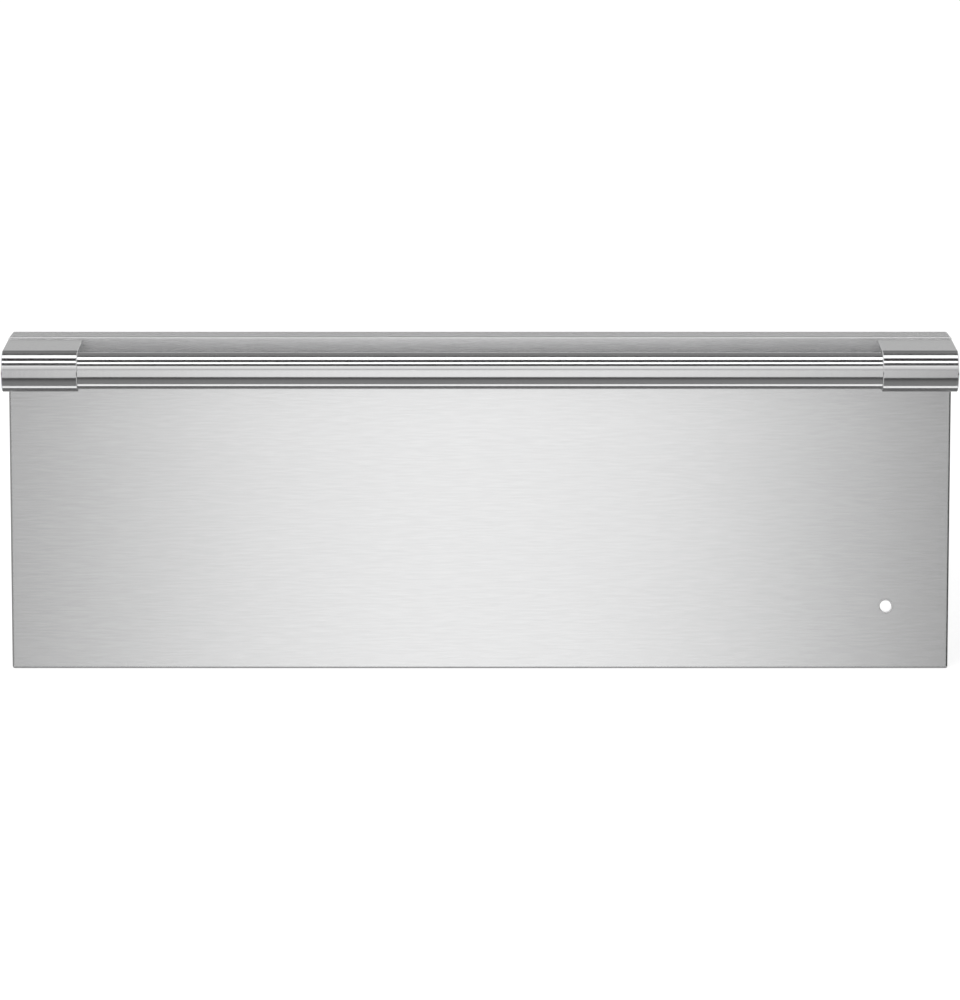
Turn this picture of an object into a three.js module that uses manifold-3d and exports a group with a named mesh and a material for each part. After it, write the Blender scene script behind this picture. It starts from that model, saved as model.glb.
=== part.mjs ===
/**
 * Built-in warming drawer: a sheet-metal case that slides into a cut-out below an oven or a worktop,
 * and a heated drawer on telescopic runners, with a brushed steel front and a full-width bar handle.
 *
 * Millimetres, +Z up. The front faces -Y and +X is on the right of somebody who faces it. The origin
 * is the middle of the case's underside, where it stands on the floor of the cut-out.
 */
import * as THREE from "three";
import { mergeVertices } from "three/addons/utils/BufferGeometryUtils.js";
import Module from "manifold-3d";

const wasm = await Module();
wasm.setup();

// ---- Driving dimensions -------------------------------------------------------------------------

const FIT = 0.3; // gap left at every seam and seat
const OVERCUT = 1; // how far a cutter, or an end inside a joined form, passes a face

// Case
const CASE_WIDTH = 717;
const CASE_HEIGHT = 184;
const CASE_DEPTH = 580;
const CASE_SHEET = 1.2;
const CASE_LIP = 14; // folded edges of the base and top, outside the side walls
const BLANKET = 12; // insulation between the case and the liner
const LINER_SHEET = 0.8;

// Frame that bears on the cabinet's face around the cut-out
const FRAME_SHEET = 1.5;
const FRAME_FLANGE = 12; // beyond the case, left and right
const FRAME_ABOVE = 40;
const FRAME_BELOW = 9;
const FRAME_HOLE_RADIUS = 2.2;
const FRAME_HOLE_INSET = 38; // from the frame's ends to its cabinet screws

// Drawer front
const PANEL_SIDE = 19.3; // how far the front reaches past the case, left and right
const PANEL_ABOVE = 68.5; // over its top, and below its base
const PANEL_BELOW = 17;
const FRONT_THICKNESS = 37;
const FRONT_SHEET = 1.2;
const FRONT_BEND = 1.6; // outside radius of its folded edges
const INNER_FRONT_SHEET = 1;
const GASKET_THICKNESS = 4;
const GASKET_WIDTH = 8;

// Handle
const HANDLE_STANDOFF = 54; // from the front's face to the bar's axis
const HANDLE_DROP = 4.4; // round part of the end caps, below the top of the front
const BAR_RADIUS = 14.5;
const BAR_WALL = 1.5;
const CAP_RADIUS = 16.5;
const CAP_RISE = 3; // how far the top of an end cap climbs from its round part to the front
const CAP_WIDTH = 60;
const CAP_FILLET = 2;
const SOCKET_DEPTH = 10; // how far the bar enters each cap
const HANDLE_SCREW_RADIUS = 2.5;
const HANDLE_SCREW_HEAD = 4.6;
const HANDLE_SCREW_HEAD_HEIGHT = 3;
const HANDLE_SCREW_BITE = 14; // length of each screw inside its cap
const HANDLE_SCREW_SPACING = 32;

// Indicator light
const LENS_RADIUS = 4.6;
const LENS_FLAT_RADIUS = 2.8; // flat middle of its dome
const LENS_PROUD = 0.9; // height of the dome
const LENS_SHOULDER = 0.2; // fall of the dome at the edge of the flat
const BEZEL_WALL = 0.5;
const BEZEL_RIM = 0.5; // how far the bezel overlaps the front around its hole
const BEZEL_PROUD = 0.6;
const LAMP_FROM_SIDE = 50.7; // centre, from the right edge of the front
const LAMP_FROM_BOTTOM = 51;
const LAMP_HOLDER_RADIUS = 7;
const LAMP_DEPTH = 4; // depth of the bezel's barrel behind the front's sheet

// Telescopic runners
const RUNNER_HEIGHT = 45;
const RUNNER_THICKNESS = 12.7;
const RUNNER_SHEET = 1.2;
const RUNNER_PLAY = 0.6; // between the members, where the balls run
const RUNNER_FRONT_GAP = 4;
const RUNNER_REAR_GAP = 60;

// Drawer carriage and tub
const RAIL_SHEET = 1.5;
const RAIL_HEIGHT = 100;
const RAIL_FLANGE = 12;
const REAR_CLEARANCE = 18; // behind the closed drawer
const HEADROOM = 28; // above the tub's rim, under the liner's top
const TUB_SHEET = 0.8;
const TUB_CORNER = 24;
const CORNER_STEPS = 2; // half the facets in a quarter turn

// Console between the front and the tub
const CONSOLE_DEPTH = 62;
const CONSOLE_SHEET = 1;
const CONSOLE_SKIRT = 50;
const CONTROL_INSET = 66; // control's axis, from the console's right end
const CONTROL_WIDTH = 40;
const CONTROL_DEPTH = 36;
const CONTROL_HEIGHT = 30;
const BUSH_RADIUS = 5;
const BUSH_PROUD = 5;
const SHAFT_RADIUS = 3;
const SHAFT_ENGAGED = 10; // length inside the control, and again inside the knob
const KNOB_RADIUS = 17;
const KNOB_GRIP_RADIUS = 12.5;
const KNOB_SKIRT = 4;
const KNOB_HEIGHT = 17;
const KNOB_LIFT = 1; // running gap under the knob

// Moisture vent in the console
const VENT_INSET = 150; // vent's middle, from the console's left end
const VENT_PORTS = 5;
const VENT_PORT_WIDTH = 9;
const VENT_PORT_LENGTH = 16; // front to back
const VENT_PITCH = 22;
const VENT_STROKE = 11; // travel that brings the ports into line
const VENT_SHEET = 1;
const VENT_MARGIN = 8; // sheet around the ports
const VENT_GUIDE = 26; // from the outer ports to the rivets that guide the slider
const VENT_TAB_WIDTH = 12;
const VENT_TAB_HEIGHT = 9;
const VENT_TAB_THICKNESS = 3;
const RIVET_RADIUS = 2;
const RIVET_HEAD = 3.6;
const RIVET_HEAD_HEIGHT = 1.2;
const RIVET_TAIL = 2; // length under the console

// Rack
const RACK_SHARE_GAP = 12; // between the rack and the tub's walls
const RACK_HEIGHT = 62;
const RACK_FRAME_RADIUS = 2.6;
const RACK_WIRE_RADIUS = 1.5;
const RACK_LEG_RADIUS = 2.3;
const RACK_FOOT_RADIUS = 2.5;
const RACK_OVERRUN = 2; // how far the rods run past each other's axes
const RACK_SIDES = 6;
const RACK_PITCH = 24;

// Heating element
const ELEMENT_RADIUS = 3.3;
const ELEMENT_SPACE = 22; // between the liner's floor and the tub
const ELEMENT_RISE = 9; // axis above the liner's floor
const ELEMENT_LEG_PITCH = 70;
const ELEMENT_LEGS = [1, 3, 5]; // half pitches from the middle to the legs of each side
const ELEMENT_FRONT_INSET = 70; // from the case's front to the element
const ELEMENT_REAR_INSET = 62; // from the case's rear to the element's rear bends
const ELEMENT_STEPS = 150;
const ELEMENT_HALF_SIDES = 3; // facets in half its round section
const TERMINAL_LENGTH = 8; // of the element behind the case
const SUPPORT_SHEET = 1.2;
const SUPPORT_FOOT = 10;
const SUPPORT_MARGIN = 3; // sheet around the element
const SUPPORT_INSET = 45; // from the element's bends to each support

// Thermal cut-out on the liner's rear wall
const CUTOUT_RADIUS = 9;
const CUTOUT_THICKNESS = 7;
const CUTOUT_HEIGHT = 70; // above the liner's floor
const CUTOUT_INSET = 222; // from the liner's left wall

// Terminals and mains inlet behind the case
const BLOCK_MARGIN = 14; // ceramic around the element's ends
const BLOCK_THICKNESS = 10;
const BLOCK_HALF_HEIGHT = 9;
const COVER_SHEET = 1;
const COVER_DEPTH = 16;
const COVER_MARGIN = 22; // left and right of the block
const COVER_HEIGHT = 62;
const COVER_LIFT = 3; // above the floor of the cut-out
const GLAND_HEIGHT = 48; // axis above the floor of the cut-out
const GLAND_RADIUS = 5;
const GLAND_FLANGE = 6.6;
const GLAND_FLANGE_THICKNESS = 3;
const GLAND_BORE = 3.6;
const GLAND_TAIL = 4; // length inside the cover

// Anti-tip bracket
const BRACKET_WIDTH = 60;
const BRACKET_SHEET = 2;
const BRACKET_HEIGHT = 40;
const BRACKET_FOOT = 15;
const BRACKET_INSET = 118; // its middle, from the case's left side
const BRACKET_HOLE_RADIUS = 2.5;

const ROUND = 32; // sides of the large round pieces
const SMALL_ROUND = 16; // sides of the small ones

// ---- Planes and edges worked out from them ------------------------------------------------------

const caseHalf = CASE_WIDTH / 2;
const faceY = -CASE_DEPTH / 2; // plane of the cabinet's face
const rearY = CASE_DEPTH / 2;
const caseFrontY = faceY + FIT;

const wallOuterX = caseHalf - CASE_SHEET - FIT;
const wallInnerX = wallOuterX - CASE_SHEET;
const blanketOuterX = wallInnerX - FIT;
const blanketInnerX = blanketOuterX - BLANKET;
const linerOuterX = blanketInnerX - FIT;
const linerInnerX = linerOuterX - LINER_SHEET;

const wallLowZ = CASE_SHEET + FIT;
const wallHighZ = CASE_HEIGHT - wallLowZ;
const linerFloorLowZ = wallLowZ + BLANKET + FIT;
const linerFloorZ = linerFloorLowZ + LINER_SHEET;
const linerTopHighZ = CASE_HEIGHT - linerFloorLowZ;
const linerTopZ = CASE_HEIGHT - linerFloorZ;

const caseRearInnerY = rearY - CASE_SHEET;
const blanketRearY = caseRearInnerY - FIT;
const blanketFrontY = blanketRearY - BLANKET;
const linerRearY = blanketFrontY - FIT;
const linerRearInnerY = linerRearY - LINER_SHEET;

const frameFrontY = faceY - FRAME_SHEET;
const gasketRearY = frameFrontY - FIT;
const gasketFrontY = gasketRearY - GASKET_THICKNESS;
const frontRearY = gasketFrontY - FIT;
const frontFaceY = frontRearY - FRONT_THICKNESS;
const frontSheetY = frontFaceY + FRONT_SHEET;
const panelHalf = caseHalf + PANEL_SIDE;
const panelTopZ = CASE_HEIGHT + PANEL_ABOVE;
const panelBottomZ = -PANEL_BELOW;

const handleY = frontFaceY - HANDLE_STANDOFF;
const handleZ = panelTopZ - HANDLE_DROP - CAP_RADIUS;
const capInnerX = panelHalf - CAP_WIDTH;
const barHalf = capInnerX + SOCKET_DEPTH - FIT;

const lampX = panelHalf - LAMP_FROM_SIDE;
const lampZ = panelBottomZ + LAMP_FROM_BOTTOM;

const runnerOuterX = linerInnerX - FIT;
const runnerInnerX = runnerOuterX - RUNNER_THICKNESS;
const runnerFrontY = caseFrontY + RUNNER_FRONT_GAP;
const runnerRearY = linerRearInnerY - RUNNER_REAR_GAP;

const railOuterX = runnerInnerX - FIT;
const railInnerX = railOuterX - RAIL_SHEET;
const bayHalf = railOuterX - RAIL_FLANGE - FIT;
const rimTopZ = linerTopZ - HEADROOM;
const seatZ = rimTopZ - TUB_SHEET - FIT; // top of the rails and the console, which carry the rim
const runnerZ = seatZ - RAIL_HEIGHT / 2;
const consoleFrontY = frontRearY + FIT;
const consoleRearY = consoleFrontY + CONSOLE_DEPTH;
const tubFrontY = consoleRearY + FIT;
const carriageRearY = linerRearInnerY - REAR_CLEARANCE;
const tubRearY = carriageRearY - RAIL_FLANGE - FIT;
const tubFloorZ = linerFloorZ + ELEMENT_SPACE;
const tubInsideZ = tubFloorZ + TUB_SHEET;

const controlX = bayHalf - CONTROL_INSET;
const controlY = (consoleFrontY + consoleRearY) / 2;
const consoleUnderZ = seatZ - CONSOLE_SHEET;
const controlTopZ = consoleUnderZ - FIT;
const controlBottomZ = controlTopZ - CONTROL_HEIGHT;
const knobBottomZ = seatZ + KNOB_LIFT;
const knobTopZ = knobBottomZ + KNOB_HEIGHT;
const bushTopZ = seatZ + KNOB_LIFT + KNOB_SKIRT + FIT;
const ventX = VENT_INSET - bayHalf;

const elementZ = linerFloorZ + ELEMENT_RISE;
const elementFrontY = faceY + ELEMENT_FRONT_INSET;
const elementRearY = rearY - ELEMENT_REAR_INSET;
const elementEndY = rearY + TERMINAL_LENGTH;
const bend = ELEMENT_LEG_PITCH / 2; // radius of its bends
const frontBendY = elementFrontY + 3 * bend; // centres of the bends behind the cross run
const rearBendY = elementRearY - bend;
const cutoutX = CUTOUT_INSET - linerInnerX;
const cutoutZ = linerFloorZ + CUTOUT_HEIGHT;
const bracketX = BRACKET_INSET - caseHalf;

// ---- Geometry helpers ---------------------------------------------------------------------------

const X = new THREE.Vector3(1, 0, 0);
const Y = new THREE.Vector3(0, 1, 0);
const Z = new THREE.Vector3(0, 0, 1);
const XZ_OUTLINE = new THREE.Matrix4().makeBasis(X, Z, Y.clone().negate()); // a shape's x, y, depth
const YZ_OUTLINE = new THREE.Matrix4().makeBasis(Y, Z, X);

/** A box between a [low, high] pair on each axis. */
function box(x, y, z) {
  const [width, depth, height] = [x, y, z].map(([low, high]) => high - low);
  const [midX, midY, midZ] = [x, y, z].map(([low, high]) => (low + high) / 2);
  return new THREE.BoxGeometry(width, depth, height).translate(midX, midY, midZ);
}

/** A [low, high] pair for one side of the object: side is -1 on the left and 1 on the right. */
function sided(side, inner, outer) {
  return side > 0 ? [inner, outer] : [-outer, -inner];
}

/** The pair that a half-width spans. */
function across(half) {
  return [-half, half];
}

function outline(points) {
  return new THREE.Shape(points.map(([a, b]) => new THREE.Vector2(a, b)));
}

/** A shape drawn in X and Z, extruded from low to high along Y. */
function prismAlongY(shape, [low, high]) {
  const geometry = new THREE.ExtrudeGeometry(shape, { depth: high - low, bevelEnabled: false });
  return geometry.applyMatrix4(XZ_OUTLINE).translate(0, high, 0);
}

/** A shape drawn in Y and Z, extruded from low to high along X. */
function prismAlongX(shape, [low, high], options = { bevelEnabled: false }) {
  const geometry = new THREE.ExtrudeGeometry(shape, { ...options, depth: high - low });
  return geometry.applyMatrix4(YZ_OUTLINE).translate(low, 0, 0);
}

/** A rounded rectangle extruded along Z. */
function roundedPrism([left, right], [front, rear], [low, high], radius) {
  const shape = new THREE.Shape();
  shape.absarc(right - radius, rear - radius, radius, 0, Math.PI / 2);
  shape.absarc(left + radius, rear - radius, radius, Math.PI / 2, Math.PI);
  shape.absarc(left + radius, front + radius, radius, Math.PI, 1.5 * Math.PI);
  shape.absarc(right - radius, front + radius, radius, 1.5 * Math.PI, 2 * Math.PI);
  const options = { depth: high - low, bevelEnabled: false, curveSegments: CORNER_STEPS };
  return new THREE.ExtrudeGeometry(shape, options).translate(0, 0, low);
}

/** A round bar along "x", "y" or "z" between low and high, through the other two coordinates. */
function rod(axis, radius, [low, high], [a, b], sides = SMALL_ROUND) {
  const geometry = new THREE.CylinderGeometry(radius, radius, high - low, sides);
  const middle = (low + high) / 2;
  if (axis === "x") return geometry.rotateZ(-Math.PI / 2).translate(middle, a, b);
  if (axis === "y") return geometry.translate(a, middle, b);
  return geometry.rotateX(Math.PI / 2).translate(a, b, middle);
}

/** A turned piece on an axis along Y, from [radius, y] pairs that start and end on the axis, front first. */
function turned(profile, sides = SMALL_ROUND) {
  return new THREE.LatheGeometry(profile.map(([radius, y]) => new THREE.Vector2(radius, y)), sides);
}

/** The same on an axis along Z, from [radius, z] pairs, lowest first. */
function turnedUpright(profile, sides = SMALL_ROUND) {
  return turned(profile, sides).rotateX(Math.PI / 2);
}

/** A closed solid that can be joined and cut, from a geometry. */
function solidOf(geometry) {
  const bare = geometry.clone();
  bare.deleteAttribute("normal");
  bare.deleteAttribute("uv");
  const merged = mergeVertices(bare);
  const triVerts = new Uint32Array(merged.index.array);
  const vertProperties = new Float32Array(merged.attributes.position.array);
  return new wasm.Manifold(new wasm.Mesh({ numProp: 3, vertProperties, triVerts }));
}

function geometryOf(solid) {
  const { vertProperties, triVerts } = solid.getMesh();
  const geometry = new THREE.BufferGeometry();
  geometry.setAttribute("position", new THREE.BufferAttribute(vertProperties, 3));
  geometry.setIndex(new THREE.BufferAttribute(triVerts, 1));
  return geometry;
}

/** Cuts every tool out of a geometry. */
function cut(geometry, ...tools) {
  return geometryOf(tools.reduce((left, tool) => left.subtract(solidOf(tool)), solidOf(geometry)));
}

/** Joins geometries that overlap into one. */
function join(...geometries) {
  return geometryOf(geometries.map(solidOf).reduce((whole, next) => whole.add(next)));
}

/** A named mesh, placed at the middle of its own box. */
function piece(name, geometry, material) {
  geometry.computeBoundingBox();
  const middle = geometry.boundingBox.getCenter(new THREE.Vector3());
  geometry.translate(-middle.x, -middle.y, -middle.z);
  geometry.computeVertexNormals();
  const mesh = new THREE.Mesh(geometry, material);
  mesh.name = name;
  mesh.position.copy(middle);
  return mesh;
}

function group(...meshes) {
  const made = new THREE.Group();
  made.add(...meshes.flat());
  return made;
}

/** Makes a piece for the left side and one for the right. */
function bothSides(make) {
  return [make("left", -1), make("right", 1)];
}

// ---- Materials ----------------------------------------------------------------------------------

function metal(color, roughness) {
  return new THREE.MeshStandardMaterial({ color, roughness, metalness: 1 });
}

function dull(color, roughness) {
  return new THREE.MeshStandardMaterial({ color, roughness, metalness: 0 });
}

const brushedSteel = () => metal(0xcdcdce, 0.32);
const plainSteel = () => metal(0xb9babb, 0.4);
const galvanised = () => metal(0xa9adb0, 0.55);
const zincPlated = () => metal(0xc2c4c6, 0.35);
const elementSheath = () => metal(0x5b5550, 0.6);
const blanketWool = () => dull(0xd8d2b8, 0.95);
const silicone = () => dull(0x3c3c3e, 0.7);
const blackPlastic = () => dull(0x1c1c1d, 0.45);
const whiteLens = () => dull(0xffffff, 0.3);
const ceramic = () => dull(0xe9e4d8, 0.5);

// ---- Case ---------------------------------------------------------------------------------------

/** The base, or the top when turned over: a sheet with both long edges folded. */
function caseTray(name, turnedOver) {
  const level = (z) => (turnedOver ? CASE_HEIGHT - z : z);
  const inside = caseHalf - CASE_SHEET;
  const corners = [
    [-caseHalf, 0],
    [caseHalf, 0],
    [caseHalf, CASE_LIP],
    [inside, CASE_LIP],
    [inside, CASE_SHEET],
    [-inside, CASE_SHEET],
    [-inside, CASE_LIP],
    [-caseHalf, CASE_LIP],
  ];
  const shape = outline(corners.map(([x, z]) => [x, level(z)]));
  return piece(name, prismAlongY(shape, [caseFrontY, rearY]), galvanised());
}

function caseWall(name, side) {
  const geometry = box(
    sided(side, wallInnerX, wallOuterX),
    [caseFrontY, rearY],
    [wallLowZ, wallHighZ],
  );
  return piece(`case_${name}`, geometry, galvanised());
}

/** Clearance holes for the element's two ends, along Y. */
function terminalHoles(low, high) {
  const radius = ELEMENT_RADIUS + FIT;
  const ends = across(bend);
  return ends.map((x) => rod("y", radius, [low - OVERCUT, high + OVERCUT], [x, elementZ]));
}

function caseRear() {
  const sheet = box(across(wallInnerX - FIT), [caseRearInnerY, rearY], [wallLowZ, wallHighZ]);
  return piece("case_rear", cut(sheet, ...terminalHoles(caseRearInnerY, rearY)), galvanised());
}

function caseShell() {
  return [caseTray("case_base", false), caseTray("case_top", true), ...bothSides(caseWall), caseRear()];
}

// ---- Insulation and liner -----------------------------------------------------------------------

function sideBlanket(name, side) {
  const geometry = box(
    sided(side, blanketInnerX, blanketOuterX),
    [caseFrontY, blanketRearY],
    [wallLowZ, wallHighZ],
  );
  return piece(`${name}_insulation`, geometry, blanketWool());
}

function flatBlanket(name, z) {
  const geometry = box(across(linerOuterX), [caseFrontY, blanketFrontY - FIT], z);
  return piece(`${name}_insulation`, geometry, blanketWool());
}

function rearBlanket() {
  const slab = box(across(linerOuterX), [blanketFrontY, blanketRearY], [wallLowZ, wallHighZ]);
  return piece("rear_insulation", cut(slab, ...terminalHoles(blanketFrontY, blanketRearY)), blanketWool());
}

function insulation() {
  return [
    flatBlanket("base", [wallLowZ, wallLowZ + BLANKET]),
    flatBlanket("top", [wallHighZ - BLANKET, wallHighZ]),
    ...bothSides(sideBlanket),
    rearBlanket(),
  ];
}

function linerFlat(name, z) {
  return piece(name, box(across(linerOuterX), [caseFrontY, linerRearY], z), plainSteel());
}

function linerWall(name, side) {
  const geometry = box(
    sided(side, linerInnerX, linerOuterX),
    [caseFrontY, linerRearY],
    [linerFloorZ + FIT, linerTopZ - FIT],
  );
  return piece(`liner_${name}`, geometry, plainSteel());
}

function linerRear() {
  const sheet = box(
    across(linerInnerX - FIT),
    [linerRearInnerY, linerRearY],
    [linerFloorZ + FIT, linerTopZ - FIT],
  );
  return piece("liner_rear", cut(sheet, ...terminalHoles(linerRearInnerY, linerRearY)), plainSteel());
}

function liner() {
  return [
    linerFlat("liner_floor", [linerFloorLowZ, linerFloorZ]),
    linerFlat("liner_top", [linerTopZ, linerTopHighZ]),
    ...bothSides(linerWall),
    linerRear(),
  ];
}

// ---- Front frame --------------------------------------------------------------------------------

function frameUpright(name, side) {
  const outerX = caseHalf + FRAME_FLANGE;
  const lowZ = -FRAME_BELOW;
  const highZ = CASE_HEIGHT + FRAME_ABOVE;
  const bar = box(sided(side, linerInnerX, outerX), [frameFrontY, faceY], [lowZ, highZ]);
  const holeX = side * (outerX - FRAME_FLANGE / 2);
  const levels = [lowZ + FRAME_HOLE_INSET, highZ - FRAME_HOLE_INSET];
  const through = [frameFrontY - OVERCUT, faceY + OVERCUT];
  const holes = levels.map((z) => rod("y", FRAME_HOLE_RADIUS, through, [holeX, z]));
  return piece(`frame_${name}`, cut(bar, ...holes), zincPlated());
}

function frameCrossbar(name, z) {
  return piece(name, box(across(linerInnerX - FIT), [frameFrontY, faceY], z), zincPlated());
}

function frontFrame() {
  return [
    ...bothSides(frameUpright),
    frameCrossbar("frame_top", [linerTopZ, CASE_HEIGHT + FRAME_ABOVE]),
    frameCrossbar("frame_bottom", [-FRAME_BELOW, linerFloorZ]),
  ];
}

// ---- Heating element ----------------------------------------------------------------------------

/** A plane path carried up to one level. */
class LevelCurve extends THREE.Curve {
  constructor(path, z) {
    super();
    this.path = path;
    this.z = z;
  }

  getPoint(t, target = new THREE.Vector3()) {
    const point = this.path.getPoint(t);
    return target.set(point.x, point.y, this.z);
  }
}

/** From the left terminal, forwards and back on the left, across the front, and the same on the right. */
function elementPath() {
  const [near, middle, far] = ELEMENT_LEGS.map((k) => k * bend);
  const path = new THREE.Path();
  path.moveTo(-near, elementEndY);
  path.lineTo(-near, frontBendY);
  path.absarc(-(near + middle) / 2, frontBendY, bend, 0, Math.PI, true);
  path.lineTo(-middle, rearBendY);
  path.absarc(-(middle + far) / 2, rearBendY, bend, 0, Math.PI, false);
  path.lineTo(-far, elementFrontY + bend);
  path.absarc(bend - far, elementFrontY + bend, bend, Math.PI, 1.5 * Math.PI, false);
  path.lineTo(far - bend, elementFrontY);
  path.absarc(far - bend, elementFrontY + bend, bend, 1.5 * Math.PI, 2 * Math.PI, false);
  path.lineTo(far, rearBendY);
  path.absarc((middle + far) / 2, rearBendY, bend, 0, Math.PI, false);
  path.lineTo(middle, frontBendY);
  path.absarc((near + middle) / 2, frontBendY, bend, 0, Math.PI, true);
  path.lineTo(near, elementEndY);
  return new LevelCurve(path, elementZ);
}

function heatingElement() {
  const section = new THREE.Shape();
  section.absarc(0, 0, ELEMENT_RADIUS, 0, 2 * Math.PI);
  const geometry = new THREE.ExtrudeGeometry(section, {
    steps: ELEMENT_STEPS,
    curveSegments: ELEMENT_HALF_SIDES,
    extrudePath: elementPath(),
  });
  return piece("heating_element", geometry, elementSheath());
}

/** An upright strip with a foot, which the element's six legs pass through. */
function elementSupport(name, y) {
  const legs = ELEMENT_LEGS.flatMap((k) => across(k * bend));
  const half = Math.max(...legs) + ELEMENT_RADIUS + FIT + SUPPORT_MARGIN;
  const lowZ = linerFloorZ + FIT;
  const highZ = elementZ + ELEMENT_RADIUS + FIT + SUPPORT_MARGIN;
  const upright = box(across(half), [y, y + SUPPORT_SHEET], [lowZ, highZ]);
  const foot = box(across(half), [y, y + SUPPORT_FOOT], [lowZ, lowZ + SUPPORT_SHEET]);
  const through = [y - OVERCUT, y + SUPPORT_SHEET + OVERCUT];
  const holes = legs.map((x) => rod("y", ELEMENT_RADIUS + FIT, through, [x, elementZ]));
  return piece(name, cut(join(upright, foot), ...holes), zincPlated());
}

function thermalCutout() {
  const rear = linerRearInnerY - FIT;
  const disc = rod("y", CUTOUT_RADIUS, [rear - CUTOUT_THICKNESS, rear], [cutoutX, cutoutZ]);
  return piece("thermal_cutout", disc, blackPlastic());
}

function heating() {
  return [
    heatingElement(),
    elementSupport("element_support_front", frontBendY + SUPPORT_INSET),
    elementSupport("element_support_rear", rearBendY - SUPPORT_INSET),
    thermalCutout(),
  ];
}

// ---- Terminals, mains inlet and anti-tip bracket ------------------------------------------------

const blockHalf = bend + BLOCK_MARGIN;
const coverHalf = blockHalf + COVER_MARGIN;
const coverRearY = rearY + FIT + COVER_DEPTH;
const glandY = (rearY + FIT + coverRearY) / 2;

function terminalBlock() {
  const y = [rearY + FIT, rearY + FIT + BLOCK_THICKNESS];
  const block = box(across(blockHalf), y, [elementZ - BLOCK_HALF_HEIGHT, elementZ + BLOCK_HALF_HEIGHT]);
  return piece("terminal_block", cut(block, ...terminalHoles(...y)), ceramic());
}

function terminalCover() {
  const highZ = COVER_LIFT + COVER_HEIGHT;
  const outside = box(across(coverHalf), [rearY + FIT, coverRearY], [COVER_LIFT, highZ]);
  const inside = box(
    across(coverHalf - COVER_SHEET),
    [rearY, coverRearY - COVER_SHEET],
    [COVER_LIFT + COVER_SHEET, highZ - COVER_SHEET],
  );
  const inletSpan = [coverHalf - COVER_SHEET - OVERCUT, coverHalf + OVERCUT];
  const inlet = rod("x", GLAND_RADIUS + FIT, inletSpan, [glandY, GLAND_HEIGHT]);
  return piece("terminal_cover", cut(outside, inside, inlet), galvanised());
}

/** The bush that grips the mains lead where it enters the cover. */
function cableGland() {
  const tailX = coverHalf - COVER_SHEET - GLAND_TAIL;
  const flangeX = coverHalf + FIT;
  const endX = flangeX + GLAND_FLANGE_THICKNESS;
  const barrel = rod("x", GLAND_RADIUS, [tailX, endX - OVERCUT], [glandY, GLAND_HEIGHT]);
  const flange = rod("x", GLAND_FLANGE, [flangeX, endX], [glandY, GLAND_HEIGHT]);
  const bore = rod("x", GLAND_BORE, [tailX - OVERCUT, endX + OVERCUT], [glandY, GLAND_HEIGHT]);
  return piece("cable_gland", cut(join(barrel, flange), bore), blackPlastic());
}

function antiTipBracket() {
  const frontY = rearY + FIT;
  const shape = outline([
    [frontY, 0],
    [frontY + BRACKET_FOOT, 0],
    [frontY + BRACKET_FOOT, BRACKET_SHEET],
    [frontY + BRACKET_SHEET, BRACKET_SHEET],
    [frontY + BRACKET_SHEET, BRACKET_HEIGHT],
    [frontY, BRACKET_HEIGHT],
  ]);
  const angle = prismAlongX(shape, [bracketX - BRACKET_WIDTH / 2, bracketX + BRACKET_WIDTH / 2]);
  const holeY = frontY + (BRACKET_SHEET + BRACKET_FOOT) / 2;
  const hole = rod("z", BRACKET_HOLE_RADIUS, [-OVERCUT, BRACKET_SHEET + OVERCUT], [bracketX, holeY]);
  return piece("anti_tip_bracket", cut(angle, hole), zincPlated());
}

// ---- Telescopic runners -------------------------------------------------------------------------

/** A channel: its web at webX, its lips reaching to lipX, symmetric about the runner's middle. */
function channel(name, webX, lipX, halfHeight) {
  const inward = Math.sign(lipX - webX) * RUNNER_SHEET;
  const shape = outline([
    [webX, runnerZ - halfHeight],
    [lipX, runnerZ - halfHeight],
    [lipX, runnerZ - halfHeight + RUNNER_SHEET],
    [webX + inward, runnerZ - halfHeight + RUNNER_SHEET],
    [webX + inward, runnerZ + halfHeight - RUNNER_SHEET],
    [lipX, runnerZ + halfHeight - RUNNER_SHEET],
    [lipX, runnerZ + halfHeight],
    [webX, runnerZ + halfHeight],
  ]);
  return piece(name, prismAlongY(shape, [runnerFrontY, runnerRearY]), zincPlated());
}

/** Three members nested into each other: fixed to the liner, floating, and fixed to the drawer's rail. */
function runnerMember(kind, name, side) {
  const step = RUNNER_SHEET + RUNNER_PLAY;
  const half = RUNNER_HEIGHT / 2;
  const members = {
    outer: [runnerOuterX, runnerInnerX + step, half],
    middle: [runnerOuterX - step, runnerInnerX + step, half - step],
    inner: [runnerInnerX, runnerOuterX - 2 * step, half - 2 * step],
  };
  const [webX, lipX, halfHeight] = members[kind];
  return channel(`${name}_runner_${kind}`, side * webX, side * lipX, halfHeight);
}

function runnerPair(kind) {
  return bothSides((name, side) => runnerMember(kind, name, side));
}

// ---- Drawer carriage and tub --------------------------------------------------------------------

function sideRail(name, side) {
  const lowZ = seatZ - RAIL_HEIGHT;
  const lipX = railOuterX - RAIL_FLANGE;
  const shape = outline(
    [
      [railOuterX, lowZ],
      [railOuterX, seatZ],
      [lipX, seatZ],
      [lipX, seatZ - RAIL_SHEET],
      [railInnerX, seatZ - RAIL_SHEET],
      [railInnerX, lowZ + RAIL_SHEET],
      [lipX, lowZ + RAIL_SHEET],
      [lipX, lowZ],
    ].map(([x, z]) => [side * x, z]),
  );
  return piece(`${name}_rail`, prismAlongY(shape, [consoleFrontY, carriageRearY]), zincPlated());
}

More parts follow.
